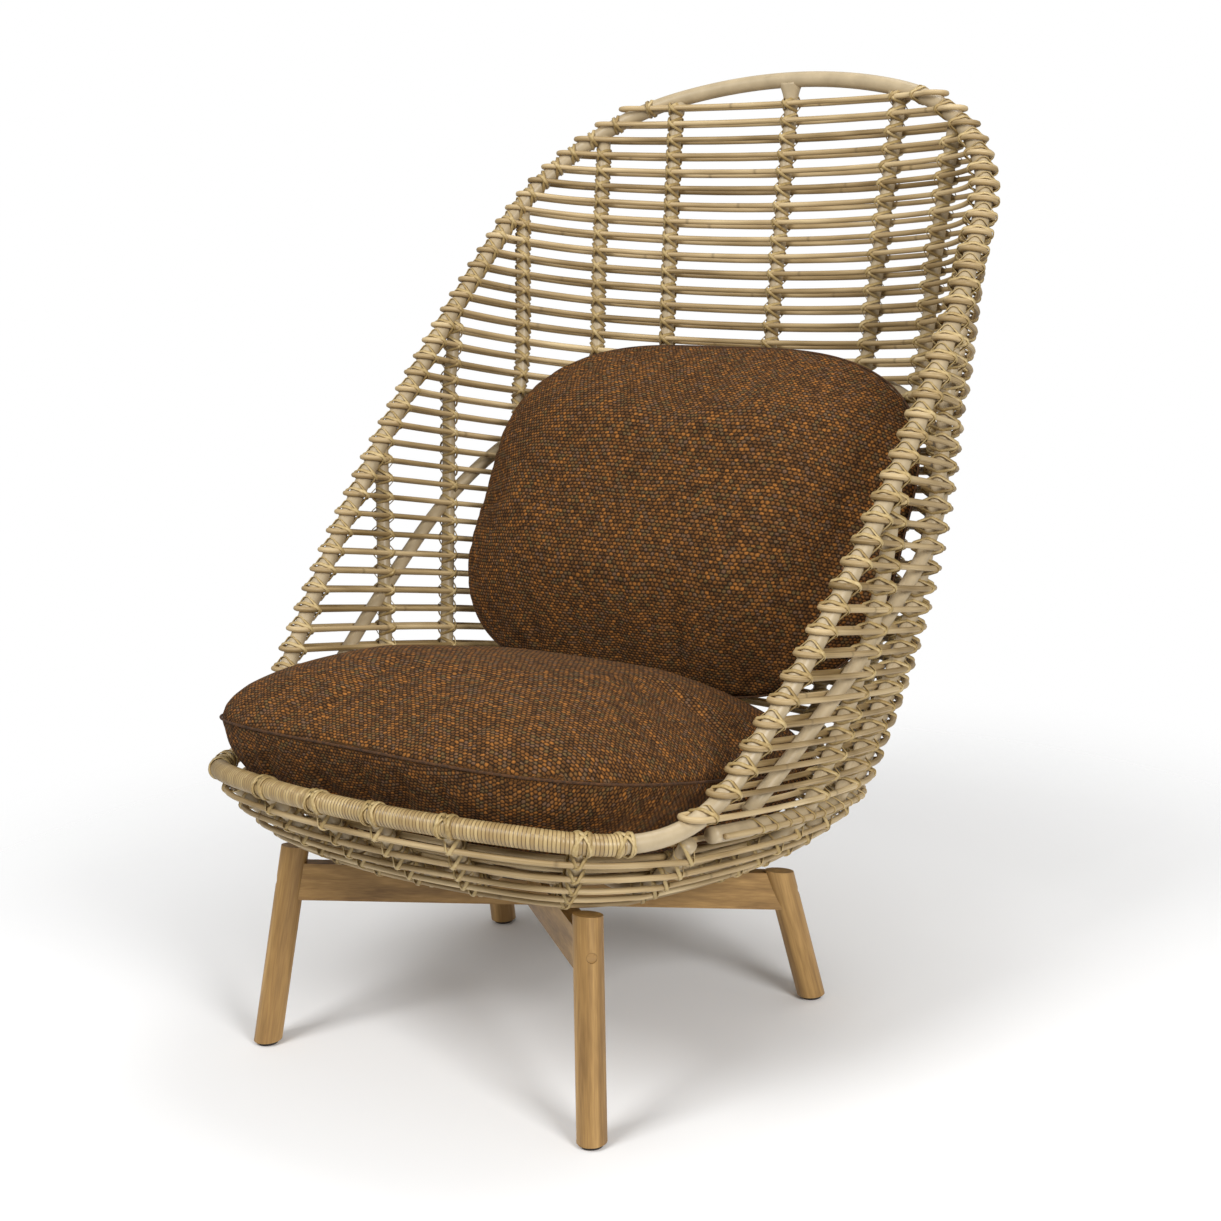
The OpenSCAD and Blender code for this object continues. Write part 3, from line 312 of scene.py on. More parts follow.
def halved(lo, hi, rounds, over):
    """Where over(t) turns from true to false between lo and hi, by halving."""
    for _ in range(rounds):
        mid = (lo + hi) / 2
        lo, hi = (mid, hi) if over(mid) else (lo, mid)
    return (lo + hi) / 2


def bend_t(k):
    """Where row k's plane meets the bend."""
    level = in_row(k, (0, *spine(k)))[2]
    return halved(0.0, 0.45, 14, lambda t: in_row(k, bend_at(t))[2] > level)


class Row:
    """Outline of row k in its own plane, x across and w forward: a back arc, a corner arc and, in the low
    rows, a side arc."""

    def __init__(self, k):
        self.k, self.tilt, self.spine = k, tilt(k), spine(k)
        straight = max(0, (k - straight_row) / (rows + 1 - straight_row))
        self.sided = k > straight_row
        self.in_bend = k <= rows and rim_q(k) < bend_q
        reach_0 = reach_to(k, rim_foot, rim_slope)
        if self.in_bend:
            t = bend_t(k)
            self.end = in_row(k, bend_at(t)) - in_row(k, (0, *self.spine))
            self.way = in_row(k, unit(bend_at(t - 0.02) - bend_at(t + 0.02)))
        else:
            (x, t), a = rim_arc(rim_q(k)), rim_slope + self.tilt
            self.end = np.array([x, reach_0, 0])
            self.way = np.array([-sin(t), -cos(t) * cos(a), cos(t) * sin(a)])
        self.depth = reach_0 - side_past * straight ** past_growth
        past = self.end[1] - self.depth
        self.start = start = side_back * straight
        self.turn = (acos(start / side_r) if self.sided else
                     pi / 2 - (pi / 2 - top_turn) * (1 - (k - 1) / (straight_row - 1)) ** past_growth)
        s = share(k)
        self.corner = top_corner_r + (corner_r - top_corner_r) * s + corner_swell * 4 * s * (1 - s)
        half = self.end[0] + (side_r - sqrt(side_r ** 2 - past ** 2) if self.sided else 0)
        meeting = np.array([half - side_r + sqrt(side_r ** 2 - start ** 2), self.depth - start] if self.sided
                           else [half, self.end[1]])
        self.corner_c = meeting - self.corner * np.array([sin(self.turn), -cos(self.turn)])
        self.side_c = np.array([half - side_r, self.depth])
        self.back_a = 2 * atan2(self.corner_c[1] - self.corner, self.corner_c[0])
        self.back_r = self.corner + self.corner_c[0] / sin(self.back_a)
        end_a = asin(past / side_r) if self.sided else self.turn - pi / 2
        across = self.way[0] * cos(end_a) + self.way[1] * sin(end_a)
        along = self.way[1] * cos(end_a) - self.way[0] * sin(end_a)
        room = hairpin_room if self.in_bend else 0
        self.pair = clasp * sqrt(across ** 2 + self.way[2] ** 2) / self.way[2] + room
        f = np.radians(np.arange(0, 181, 15))
        y = self.pair * np.cos(f)
        h = (along * across * y) ** 2 - (1 - along ** 2) * (y * y * (1 - across ** 2) - clasp ** 2)
        lead = (along * across * y + np.sqrt(np.maximum(0, h))) / (1 - along ** 2) - self.pair * np.sin(f)
        last_r = side_r if self.sided else self.corner
        self.end_a, self.lead_a = end_a, end_a + (max(0, *lead) + room) / last_r
        self.l_back = self.back_r * self.back_a
        self.l_corner = self.corner * (self.turn - self.back_a)
        self.length = self.l_back + (
            self.l_corner + side_r * (self.lead_a - self.turn + pi / 2) if self.sided
            else self.corner * (self.lead_a + pi / 2 - self.back_a))
        self.rim_s = self.length - last_r * (self.lead_a - end_a)

    def at(self, s):
        """(point, heading) at length s from the centre rib, for s of either sign."""
        s = np.asarray(s, float)
        a = np.abs(s)
        t1 = a / self.back_r
        t2 = self.back_a + (a - self.l_back) / self.corner
        t3 = self.turn - pi / 2 + (a - self.l_back - self.l_corner) / side_r
        back = self.back_r * np.stack([np.sin(t1), 1 - np.cos(t1)], -1)
        corner = self.corner_c + self.corner * np.stack([np.sin(t2), -np.cos(t2)], -1)
        side = self.side_c + side_r * np.stack([np.cos(t3), np.sin(t3)], -1)
        in_back = a <= self.l_back
        in_corner = (a <= self.l_back + self.l_corner) | (not self.sided)
        p = np.where(in_back[..., None], back, np.where(in_corner[..., None], corner, side))
        h = np.where(in_back, t1, np.where(in_corner, t2, t3 + pi / 2))
        sign = np.where(s < 0, -1, 1)
        return p * np.stack([sign, np.ones_like(sign)], -1), h * sign

    def lift(self, p):
        """Points (x, w) of the row's plane in space."""
        return np.stack([p[..., 0], ring_y + self.spine[0] - p[..., 1] * cos(self.tilt),
                         self.spine[1] + p[..., 1] * sin(self.tilt)], -1)

    def turned(self, v):
        """Directions (x, w) of the row's plane in space."""
        return np.stack([v[..., 0], -v[..., 1] * cos(self.tilt), v[..., 1] * sin(self.tilt)], -1)

    def loop(self, inner, outer, spacing=13):
        """The cane of the row: outer strand, hairpin round the rim, inner strand and the mirrored half."""
        s = np.linspace(0, self.length, ceil(self.length / spacing))
        p, h = self.at(s)
        n = np.stack([np.sin(h), -np.cos(h)], -1)
        f = np.linspace(0, pi, 9)[1:-1, None]
        t_end = np.array([cos(h[-1]), sin(h[-1])])
        radius = (inner + outer) / 2
        hook = p[-1] + (outer - inner) / 2 * n[-1] + radius * (np.cos(f) * n[-1] + np.sin(f) * t_end)
        half = np.concatenate([p + outer * n, hook, (p - inner * n)[::-1]])
        return self.lift(np.concatenate([half, (half * [-1, 1])[::-1][1:-1]]))


all_rows = [Row(k) for k in range(1, rows + 2)]

# Peeled rattan, rubbed and clear-lacquered: straw tan, every cane its own tone, fine fibre streaks along it
# and a darker node every few hundred millimetres.
cane, tree, shader = material("peeled_rattan_cane", Roughness=0.5, IOR=1.5)
parts = add(tree, "SeparateXYZ", {"Vector": add(tree, "UVMap", uv_map="UVMap")})
tone = add(tree, "Attribute", attribute_name="tone", attribute_type="GEOMETRY")
moved = add(tree, "Math", {0: tone.outputs["Fac"], 1: 37.0}, operation="MULTIPLY")
length = add(tree, "Math", {0: parts.outputs["X"], 1: moved}, operation="ADD")
lengthwise = add(tree, "Math", {0: length, 1: 9.0}, operation="MULTIPLY")
across = add(tree, "Math", {0: parts.outputs["Y"], 1: 14.0}, operation="MULTIPLY")
streak_at = add(tree, "CombineXYZ", {"X": lengthwise, "Y": across})
streaks = add(tree, "TexNoise", {"Vector": streak_at, "Scale": 1.0, "Detail": 4, "Roughness": 0.6})
patches = add(tree, "TexNoise", {"W": length, "Scale": 7.0, "Detail": 2}, noise_dimensions="1D")
mixed = add(tree, "Math", {0: streaks, 1: patches}, operation="ADD")
level = add(tree, "Math", {0: tone.outputs["Fac"], 1: 0.55, 2: -0.28}, operation="MULTIPLY_ADD")
level = add(tree, "Math", {0: mixed, 1: level}, operation="ADD")
level = add(tree, "MapRange", {"Value": level, "From Min": 0.55, "From Max": 1.45})
tint = ramp(tree, level, (0.0, "#80683f"), (1.0, "#d6bf92"), (0.35, "#a68d62"), (0.65, "#bda478"))
joint_at = add(tree, "Math", {0: length, 1: 0.31}, operation="PINGPONG")
joint = add(tree, "MapRange", {"Value": joint_at, "From Min": 0.0, "From Max": 0.004, "To Min": 0.55,
                               "To Max": 0.0})
tint = add(tree, "MixRGB", {"Fac": joint, "Color1": tint, "Color2": linear("#6b5535")})
surface(tree, shader, tint, streaks, 0.35, 0.0005)


def row_tubes(first, last):
    """The canes of rows first to last, as one batch for each."""
    made = []
    for row in all_rows[first - 1:last]:
        path = row.loop(row.pair, row.pair)
        radius = cane_r * (1 + cane_swell * np.sin(np.arange(len(path)) * cane_wave + row.k))
        made.append(sweep(path, (0, sin(row.tilt), cos(row.tilt)), radius, 8, True, wander=cane_wander))
    return made


mid_row = rows // 2
build("cane_rows_upper", row_tubes(1, mid_row), cane, "cane", "cane_back_upper")
build("cane_rows_lower", row_tubes(mid_row + 1, rows), cane, "cane", "cane_back_lower", "cane_corner_left",
      "cane_corner_right", "cane_side_left", "cane_side_right", "cane_loops_left", "cane_loops_right")

# ---- Seat ring, support hoop and ribs ------------------------------------------------------------
# Steel tubes of 20 and 19 mm in the same lacquer, welded end to side. The ring carries the seat, the hoop
# stiffens the back behind the rim, and the ribs run between the two strands of every row.
ring_r, rib_r, hoop_row, hoop_back, ring_short, rim_clear = 10, 9.5, 16, 45, 2, 24
ring_row = all_rows[-1]
ring_len = ring_row.l_back + ring_row.l_corner + side_r * (pi / 2 - ring_row.turn)


def row_x(row, w):
    """Half width of a row at distance w in front of the centre rib."""
    c = row.corner_c
    if row.sided and w >= row.depth - row.start:
        return row.side_c[0] + sqrt(side_r ** 2 - (w - row.depth) ** 2)
    if w >= row.back_r * (1 - cos(row.back_a)):
        return c[0] + sqrt(row.corner ** 2 - (c[1] - w) ** 2)
    return sqrt(row.back_r ** 2 - (row.back_r - w) ** 2)


def both(path):
    """The path with its mirrored half in front; it starts on the middle plane."""
    return np.concatenate([flip(path), np.asarray(path)[1:]])


def beside(short, out, points=12):
    """Points along the ring's straight side, out from it, to a distance short of the corner."""
    v = np.linspace(ring_row.depth, ring_depth - corner_back - short, points + 1)[1:]
    return ring_at(np.array([row_x(ring_row, w) for w in v]) + out, v) + shift


ring_half = ring_row.lift(ring_row.at(np.linspace(0, ring_len, 60))[0])
ring_half = np.concatenate([ring_half, beside(ring_short, 0)])
ring_up = (0, sin(seat_tilt), cos(seat_tilt))
build("ring_tube", [sweep(both(ring_half), ring_up, ring_r, 20)], lacquer, "tube", "seat_ring")

hoop_v = ring_depth - corner_back - hoop_back
hoop_base = np.array([-hoop_v * cos(seat_tilt), ring_z + hoop_v * sin(seat_tilt)])
hoop_slope = atan2(spine(hoop_row)[1] - hoop_base[1], spine(hoop_row)[0] - hoop_base[0])


def hoop_at(k):
    """Point of the support hoop at row k."""
    row = Row(k)
    w = max(0, reach_to(k, hoop_base, hoop_slope))
    return row.lift(np.array([row_x(row, w), w]))


hoop_half = np.array([Row(hoop_row).lift(np.array([0, 0]))] + [
    hoop_at(hoop_row + (rows + 1 - hoop_row) * (i / 48) ** 1.8) for i in range(1, 48)])
build("hoop_tube", [sweep(both(hoop_half), (0, -sin(hoop_slope), cos(hoop_slope)), rib_r, 16)],
      lacquer, "tube", "support_hoop")

rib_ring = [0, 145, 255, 355, 460, 565]
rib_top = [0, 190, 302, 425, 550, 725]


def rib_s(j, k):
    """Place of rib j along row k, from the centre rib."""
    a = abs(j)
    return (-1 if j < 0 else 1) * (rib_ring[a] + (rib_top[a] - rib_ring[a]) * (1 - share(k)))


row_1, row_2 = all_rows[:2]


def rib_at(j, k):
    """Point of rib j at row k; above row 1 the rib runs straight on."""
    if k >= 1:
        row = Row(k)
        return row.lift(row.at(rib_s(j, k))[0])
    return row_1.lift(row_1.at(rib_s(j, 1))[0]) * (2 - k) - row_2.lift(row_2.at(rib_s(j, 2))[0]) * (1 - k)


def row_of(j):
    """Row at which rib j meets the rim's plane."""
    def over(k):
        p = rib_at(j, k)
        return p[2] - rim_foot[1] - (p[1] - ring_y - rim_foot[0]) * tan(rim_slope) > 0
    return halved(-2.0, float(rows), 22, over)


rib_rows = {j: row_of(j) for j in range(-5, 6)}


def rim_point(j):
    """Point of the rim's axis that rib j is welded to."""
    p = rib_at(j, rib_rows[j])
    x = abs(p[0])
    q = (crown_c[1] + sqrt(crown_r ** 2 - x ** 2) if x < crown_r * sin(crown_a)
         else (p[2] - rim_foot[1]) / sin(rim_slope))
    return rim_at(np.sign(j) * rim_arc(q)[0], q) + shift


def rib_path(j):
    """Rib j from the rim's axis down to the ring."""
    top = rim_point(j)
    path = np.array([rib_at(j, k) for k in np.linspace(rib_rows[j], rows + 1, 40)])
    below = path[(np.linalg.norm(path - top, axis=1) > rim_clear) & (path[:, 2] < top[2])]
    return np.concatenate([[top], below])


rib_side = (0, -1, 0.3)
build("rib_tubes", [sweep(rib_path(j), rib_side, rib_r, 16) for j in rib_rows], lacquer, "tube",
      "back_ribs", "side_ribs_left", "side_ribs_right")

# A weld fillet closes the joint between the centre rib and the crown of the rim.
weld_start, weld_len, weld_lip = 4, 34, 10
top, under = rib_path(0)[:2]
s = np.linspace(0, 1, 12)
flare = rib_r + gap + weld_lip * ((1 - s) ** 2.2)[:, None] * np.sin(2 * pi * np.arange(16) / 16)[None] ** 2
weld = top + (weld_start + weld_len * s)[:, None] * unit(under - top)
build("crown_weld", [sweep(weld, rib_side, flare, 16)], lacquer, "tube")

# ---- Ring cane -----------------------------------------------------------------------------------
# One peeled cane lies along the outer side of the seat ring, from corner to corner round the back.
# It is bound to the tube by the strips of the ties below.
ring_cane_short, cane_out = 10, ring_r + cane_r + gap
p, h = ring_row.at(np.linspace(0, ring_len, 80))
ring_cane_back = ring_row.lift(p + cane_out * np.stack([np.sin(h), -np.cos(h)], -1))
ring_cane_path = both(np.concatenate([ring_cane_back, beside(ring_cane_short, cane_out)]))
ring_cane = sweep(ring_cane_path, ring_up, cane_r, 10, wander=0.15)
build("ring_cane_strand", [ring_cane], cane, "cane", "ring_cane")

# ---- Bowl ----------------------------------------------------------------------------------------
# Under the ring the basket closes in a shallow bowl: steel tubes run from the ring down to the hub plate,
# with six rows of paired canes round its wall.
bowl_depth, bowl_wall, wall_curve, bowl_rows, hub_reach = 86, 125, 1.6, 6, 75
first_in, spread_in = 0.15, 0.2
side_v = [ring_row.depth + (ring_depth - corner_back - ring_row.depth) * i / 2 for i in range(2)]
bends = bend_at(np.arange(2, 8) / 8)
front_arc = front_a * (1 - np.arange(3) / 3)
edge = np.concatenate([
    ring_row.at(ring_len * np.arange(8) / 8)[0], [[row_x(ring_row, w), w] for w in side_v],
    np.stack([bends[:, 0], -bends[:, 1] / cos(seat_tilt)], -1),
    np.stack([front_r * np.sin(front_arc), ring_depth - front_r + front_r * np.cos(front_arc)], -1),
    [[0, ring_depth]]])
ahead = np.concatenate([edge[1:2] - edge[:1], edge[2:] - edge[:-2], edge[-1:] - edge[-2:-1]])
edge_n = unit(np.stack([-ahead[:, 1], ahead[:, 0]], -1))
edge_n[0], edge_n[-1] = (0, 1), (0, -1)


def wall(d):
    """Depth of the wall's rib axis at inset d."""
    return bowl_depth * (1 - (1 - min(1, d / bowl_wall)) ** wall_curve)


def bowl_3d(p, h):
    """Point (x, v) of the ring's plane, h below it, in space."""
    p, h = np.asarray(p, float), np.asarray(h, float)
    return np.stack([p[..., 0], ring_y - p[..., 1] * cos(seat_tilt) - h * sin(seat_tilt),
                     ring_z + p[..., 1] * sin(seat_tilt) - h * cos(seat_tilt)], -1)


def wall_out(m, g):
    """(inset, depth) of bowl row m, g outside the rib's axis."""
    d = bowl_wall * (m - first_in) / (bowl_rows - spread_in)
    n = unit(np.array([wall(d + 1) - wall(d - 1), 2]))
    return d - g * n[0], wall(d) + g * n[1]


def spline(p, parts, closed=False):
    """A smooth curve through points p: Catmull-Rom cubics with parts pieces each."""
    p = np.asarray(p, float)
    if closed:
        q = np.concatenate([p[-1:], p, p[:2]])
    else:
        q = np.concatenate([2 * p[:1] - p[1:2], p, 2 * p[-1:] - p[-2:-1]])
    a, b, c, d = q[:-3, None], q[1:-2, None], q[2:-1, None], q[3:, None]
    t = (np.arange(parts) / parts)[None, :, None]
    curve = 0.5 * (2 * b + (c - a) * t + (2 * a - 5 * b + 4 * c - d) * t ** 2
                   + (3 * b - a - 3 * c + d) * t ** 3)
    curve = curve.reshape(-1, p.shape[1])
    return curve if closed else np.concatenate([curve, p[-1:]])


def bowl_row(m, g, parts=7):
    """Bowl row m, g outside the ribs' axes, all the way round."""
    o = wall_out(m, g)
    half = bowl_3d(edge + o[0] * edge_n, o[1])
    return spline(np.concatenate([half, flip(half)[1:-1]]), parts, True)


bowl_pair = (rib_r * 2 * cos(radians(22.5)) + 2 * cane_r) / 2 + 2 * gap
build("bowl_cane", [sweep(bowl_row(m, g), ring_up, cane_r, 8, True, wander=0.2)
                    for m in range(1, bowl_rows + 1) for g in (-bowl_pair, bowl_pair)],
      cane, "cane", "bowl_cane_back", "bowl_cane_left", "bowl_cane_right", "bowl_cane_front")

foot_back, spacer_h, plate_h = 330, 16, 4
front_y = -ring_depth * cos(seat_tilt)
feet_y = ring_y + front_y + foot_back
hub_h = bowl_depth + rib_r + gap
deck_h = hub_h + plate_h + gap + spacer_h
hub_v = (ring_y - feet_y - deck_h * sin(seat_tilt)) / cos(seat_tilt)
front_s = [45, 147, 303, 441]
rib_turn = 2 * pi / 19
run = np.concatenate([[0], np.cumsum(np.linalg.norm(np.diff(edge[::-1], axis=0), axis=1))])


def inset(q):
    """Distance of points q from the bowl's outline."""
    q = np.stack([np.abs(q[:, 0]), q[:, 1]], -1)
    a, d = edge[:-1], np.diff(edge, axis=0)
    t = np.clip(((q[:, None] - a) * d).sum(2) / (d * d).sum(1), 0, 1)
    return np.linalg.norm(q[:, None] - a - t[..., None] * d, axis=2).min(1)


def bowl_rib(p, angle, start):
    """A rib from outline point p over the wall to the hub, in the direction given."""
    end = np.array([hub_reach * sin(angle), hub_v - hub_reach * cos(angle)])
    n = np.linalg.norm(end - p)
    d = np.concatenate([np.linspace(start, bowl_wall * 1.1, 22), [n]])
    q = p + (end - p) * (d / n)[:, None]
    path = bowl_3d(q, np.array([wall(v) for v in inset(q)]))
    return sweep(path, [*(end - p)[::-1], 0], rib_r, 14), path


bowl_ends = [(ring_row.at(rib_s(j, rows + 1))[0], j * rib_turn, 4) for j in range(-5, 6)]
for i, s in enumerate(front_s):
    e = np.array([np.interp(s, run, edge[::-1, 0]), np.interp(s, run, edge[::-1, 1])])
    bowl_ends += [(e * [m, 1], pi - m * (i + 0.5) * rib_turn, 6) for m in (-1, 1)]
bowl_ribs = [bowl_rib(*e) for e in bowl_ends]
build("bowl_tubes", [r[0] for r in bowl_ribs], lacquer, "tube", "bowl_ribs_back", "bowl_ribs_front")

# ---- Ties ----------------------------------------------------------------------------------------
# Pairs of flat strips of split cane, 4.4 mm wide, tie the two strands of a row to each rib and to the rim in
# a cross, and the bowl's canes to its ribs. Single strips hold the cane that lies along the ring.
row_lean, rim_lean, second_over, least_sine = 0.8, 0.35, 0.45, 0.4


def bands(centre, way, out, rounds, width=4.4, thick=1.0, points=16, snug=0.25):
    """Closed strips drawn tight round several round members: point i of strip k is the support point, at
    heading f_i in the plane of way and out, of the ellipses (place along out, half width along way, half
    width along out), i.e. (a^2 cos f, b^2 sin f) / h + (0, z) with h = sqrt(a^2 cos^2 f + b^2 sin^2 f), taken
    where h + z sin f is greatest."""
    centre, way, out = (np.asarray(given, float) for given in (centre, way, out))
    way, out = unit(way), unit(out)
    shape = len(centre), len(rounds[0][0])
    z, a, b = (np.broadcast_to(np.asarray(r, float), shape)[:, None] for r in rounds)
    f = (2 * pi * (np.arange(points) + 0.5) / points)[None, :, None]
    c, s = np.cos(f), np.sin(f)
    across = unit(np.cross(way, out))
    rings = []
    for dw, dt in ((-1, 0), (-1, 1), (1, 1), (1, 0)):
        a_1, b_1 = a + snug + dt * thick, b + snug + dt * thick
        h = np.sqrt((a_1 * c) ** 2 + (b_1 * s) ** 2)
        best = (h + z * s).argmax(2)[..., None]
        u = np.take_along_axis(a_1 ** 2 * c / h, best, 2)
        v = np.take_along_axis(b_1 ** 2 * s / h + z, best, 2)
        rings.append(centre[:, None] + u * way[:, None] + v * out[:, None] + dw * width / 2 * across[:, None])
    return np.stack(rings, 2), True


def crossed(centre, row_way, rib_way, out, pair, radius, at_rim=False):
    """Two strips over each crossing, round both strands of the row and the tube: along both diagonals where a
    row crosses a rib, and close to square across the acute corner of row and rim. A member's half width along
    a strip is its radius over the sine of the angle between them."""
    t, r = unit(np.asarray(row_way, float)), unit(np.asarray(rib_way, float))
    pair = np.asarray(pair, float)[:, None]
    r = r * np.where((t * r).sum(1, keepdims=True) < 0, -1, 1)
    if at_rim:
        base, other, lean = unit(t - r), unit(t + r), rim_lean
    else:
        base, other, lean = t, unit(r - (t * r).sum(1, keepdims=True) * t), row_lean
    made = []
    for m in (-1, 1):
        way = base * cos(lean) + m * other * sin(lean)
        grow = second_over * (m + 1)
        a_cane, a_tube = (
            size / np.maximum(least_sine, np.linalg.norm(np.cross(way, v), axis=1, keepdims=True))
            for size, v in ((cane_r, t), (radius, r)))
        z = np.concatenate([-pair, 0 * pair, pair], 1)
        a = np.concatenate([a_cane, a_tube, a_cane], 1) + grow
        b = np.array([[cane_r, radius, cane_r]]) + grow
        made.append(bands(centre, way, out, (z, a, b)))
    return made


def crossing(row, s, tube_way, side=1):
    """A row's crossing with a tube at s: centre, both headings, the way out and the strands' distance."""
    p, h = row.at(s)
    ways = row.turned(np.array([cos(h), sin(h)])), tube_way, row.turned(np.array([sin(h), -cos(h)]))
    mirror = np.array([side, 1, 1])
    return [row.lift(p) * mirror, *(way * mirror for way in ways), row.pair]


at_ribs, at_rim = [], []
for j, first in rib_rows.items():
    for k in range(max(1, ceil(first + 0.55)), rows + 1):
        way = rib_at(j, k + 0.3) - rib_at(j, k - 0.3) if k > 1 else rib_at(j, 1.5) - rib_at(j, 1)
        at_ribs.append(crossing(all_rows[k - 1], rib_s(j, k), way))
for row in all_rows[:-1]:
    (x, w, z), s, c = row.way, sin(row.tilt), cos(row.tilt)
    for side in (-1, 1):
        at_rim.append(crossing(row, row.rim_s, np.array([x, -w * c + z * s, w * s + z * c]), side))
rib_ties = crossed(*zip(*at_ribs), rib_r)
rim_ties = crossed(*zip(*at_rim), rim_r, True)

# Split cane strip: paler and flatter than the canes, with a soft gloss on its skin side.
strip, tree, shader = material("split_cane_strip", Roughness=0.45, IOR=1.5)
tone = add(tree, "Attribute", attribute_name="tone", attribute_type="GEOMETRY")
fibre = add(tree, "TexNoise", {"Vector": add(tree, "TexCoord").outputs["Object"], "Scale": 260, "Detail": 3})
level = add(tree, "Math", {0: tone.outputs["Fac"], 1: 0.6, 2: fibre}, operation="MULTIPLY_ADD")
level = add(tree, "MapRange", {"Value": level, "From Min": 0.3, "From Max": 1.3})
tint = ramp(tree, level, (0.0, "#94794a"), (1.0, "#cdb685"), (0.5, "#b39a66"))
surface(tree, shader, tint, fibre, 0.3, 0.0004)

build("rib_ties", rib_ties, strip, "binding")
build("rim_ties", rim_ties, strip, "binding")

bowl_ties = []
for m in range(1, bowl_rows + 1):
    ring_line, at_bowl = bowl_row(m, 0, 12), []
    for _, path in bowl_ribs:
        gaps = np.linalg.norm(ring_line[:, None] - path[None], axis=2)
        i, c = np.unravel_index(gaps.argmin(), gaps.shape)
        c = min(max(c, 1), len(path) - 2)
        t_row, t_rib = ring_line[(i + 1) % len(ring_line)] - ring_line[i - 1], path[c + 1] - path[c - 1]
        at_bowl.append([ring_line[i], t_row, t_rib, np.cross(unit(t_row), unit(t_rib)), bowl_pair])
    bowl_ties += crossed(*zip(*at_bowl), rib_r)
build("bowl_ties", bowl_ties, strip, "binding")

tie_count, ends_free = 45, 20
ring_ties = []
for j in np.linspace(-1, 1, tie_count):
    p, h = ring_row.at(j * (ring_len - ends_free))
    out = ring_row.turned(np.array([sin(h), -cos(h)]))
    size = [[ring_r, cane_r]]
    ring_ties.append(bands([ring_row.lift(p)], [ring_up], [out], ([[0, cane_out]], size, size)))
build("ring_ties", ring_ties, strip, "binding")

# ---- Edge binding --------------------------------------------------------------------------------
# The front edge is wound closely with split cane, turn against turn, from one bend to the other. It is the
# same cane as the ties, 4.6 mm from turn to turn, and it covers the rim tube where the sitter's legs rest.
strip_pitch, strip_under, strip_crown, around = 4.6, 0.5, 1.1, 20
wrap_front, wrap_bend = edge_at(front_a * np.linspace(0, 1, 40)), bend_at(np.linspace(1, 7 / 12, 40))[1:]
wrap_half = np.concatenate([wrap_front, wrap_bend]) + shift
wrap_path = both(wrap_half)
far = np.concatenate([[0], np.cumsum(np.linalg.norm(np.diff(wrap_path, axis=0), axis=1))])
s = np.arange(0, far[-1], strip_pitch / 5)
wrap_path = np.stack([np.interp(s, far, wrap_path[:, i]) for i in range(3)], -1)
wound = (s[:, None] / strip_pitch - np.arange(around)[None, :] / around) % 1
radius = rim_r + strip_under + strip_crown * np.sqrt(np.maximum(0, 1 - (2 * wound - 1) ** 4))

# The same split cane, wound: a dark line of painted shade lies between one turn and the next.
winding, tree, shader = material("wound_split_cane", Roughness=0.38, IOR=1.5)
parts = add(tree, "SeparateXYZ", {"Vector": add(tree, "UVMap", uv_map="UVMap").outputs["UV"]})
turns = add(tree, "Math", {0: parts.outputs["X"], 1: 1000 / strip_pitch}, operation="MULTIPLY")
place = add(tree, "Math", {0: turns, 1: parts.outputs["Y"]}, operation="SUBTRACT")
turn_no = add(tree, "Math", {0: place}, operation="FLOOR")
from_gap = add(tree, "Math", {0: place, 1: 0.5}, operation="PINGPONG")
# Painted shade: the colour darkens to #5f4a2a in the groove where one turn meets the next.
painted_groove_shade = add(tree, "MapRange", {"Value": from_gap, "From Min": 0.03, "From Max": 0.16})
each = add(tree, "TexWhiteNoise", {"W": turn_no}, noise_dimensions="1D")
tint = ramp(tree, each, (0.0, "#a2875a"), (1.0, "#c3aa78"))
tint = add(tree, "MixRGB", {"Fac": painted_groove_shade, "Color1": linear("#5f4a2a"), "Color2": tint})
put(tree, shader, {"Base Color": tint})
build("edge_winding", [sweep(wrap_path, rim_side, radius, around)], winding, "binding", "edge_binding")

# Every front rib is lashed to the front edge with two turns and a cross over them.
lash_up, lash_lean, lash_r = 0.6, 0.62, rim_r + 2.3
lashes = []
for e, _, _ in bowl_ends[11:]:
    m = np.sign(e[0])
    i = int(np.linalg.norm(wrap_half[:, :2] - bowl_3d(e * [m, 1], 0)[:2], axis=1).argmin())
    at, i = wrap_half[i], max(1, i)
    t = unit(wrap_half[min(i + 1, len(wrap_half) - 1)] - wrap_half[i - 1])
    out = np.array(ring_up) * cos(lash_up) + np.cross(t, ring_up) * sin(lash_up)
    for lean, along in ((-lash_lean, 0), (lash_lean, 0), (0, -7), (0, 7)):
        way = unit(np.cross(t, out)) * cos(lean) + t * sin(lean)
        line = ([given * [m, 1, 1]] for given in (at + along * t, way, unit(out)))
        lashes.append(bands(*line, ([[0]], [[lash_r / cos(lean)]], [[lash_r]])))
build("edge_lashings", lashes, strip, "binding")

# ---- Cushions ------------------------------------------------------------------------------------
# A seat cushion that fills the bowl and a back cushion that leans on the shell: loose fibre fill in a brown,
# orange and grey tweed cover, two panels sewn edge to edge, the sides drawn in between pointed corners.
# The fill is a short cloth simulation with pressure; the seam is held.
seat_w, seat_l, seat_crown, seat_rise, seat_slope, seat_behind = 682, 658, 100, 51, radians(3.2), 319
pillow_w, pillow_h, pillow_t, pillow_lean, pillow_back, pillow_up = 735, 519, 160, radians(29), 690, 371
small, seam_level, seam_r, fabric_step, drape, frames = 0.985, 0.985, 1.6, 0.0075, 0.85, 20
seat_sunk, seat_slack, back_slack = 6, 12, 8
seam_form = {"seat_pad": (3.3, 0.04), "back_pad": (2.8, 0.03)}
bowl_floor = bowl_depth - rib_r - gap


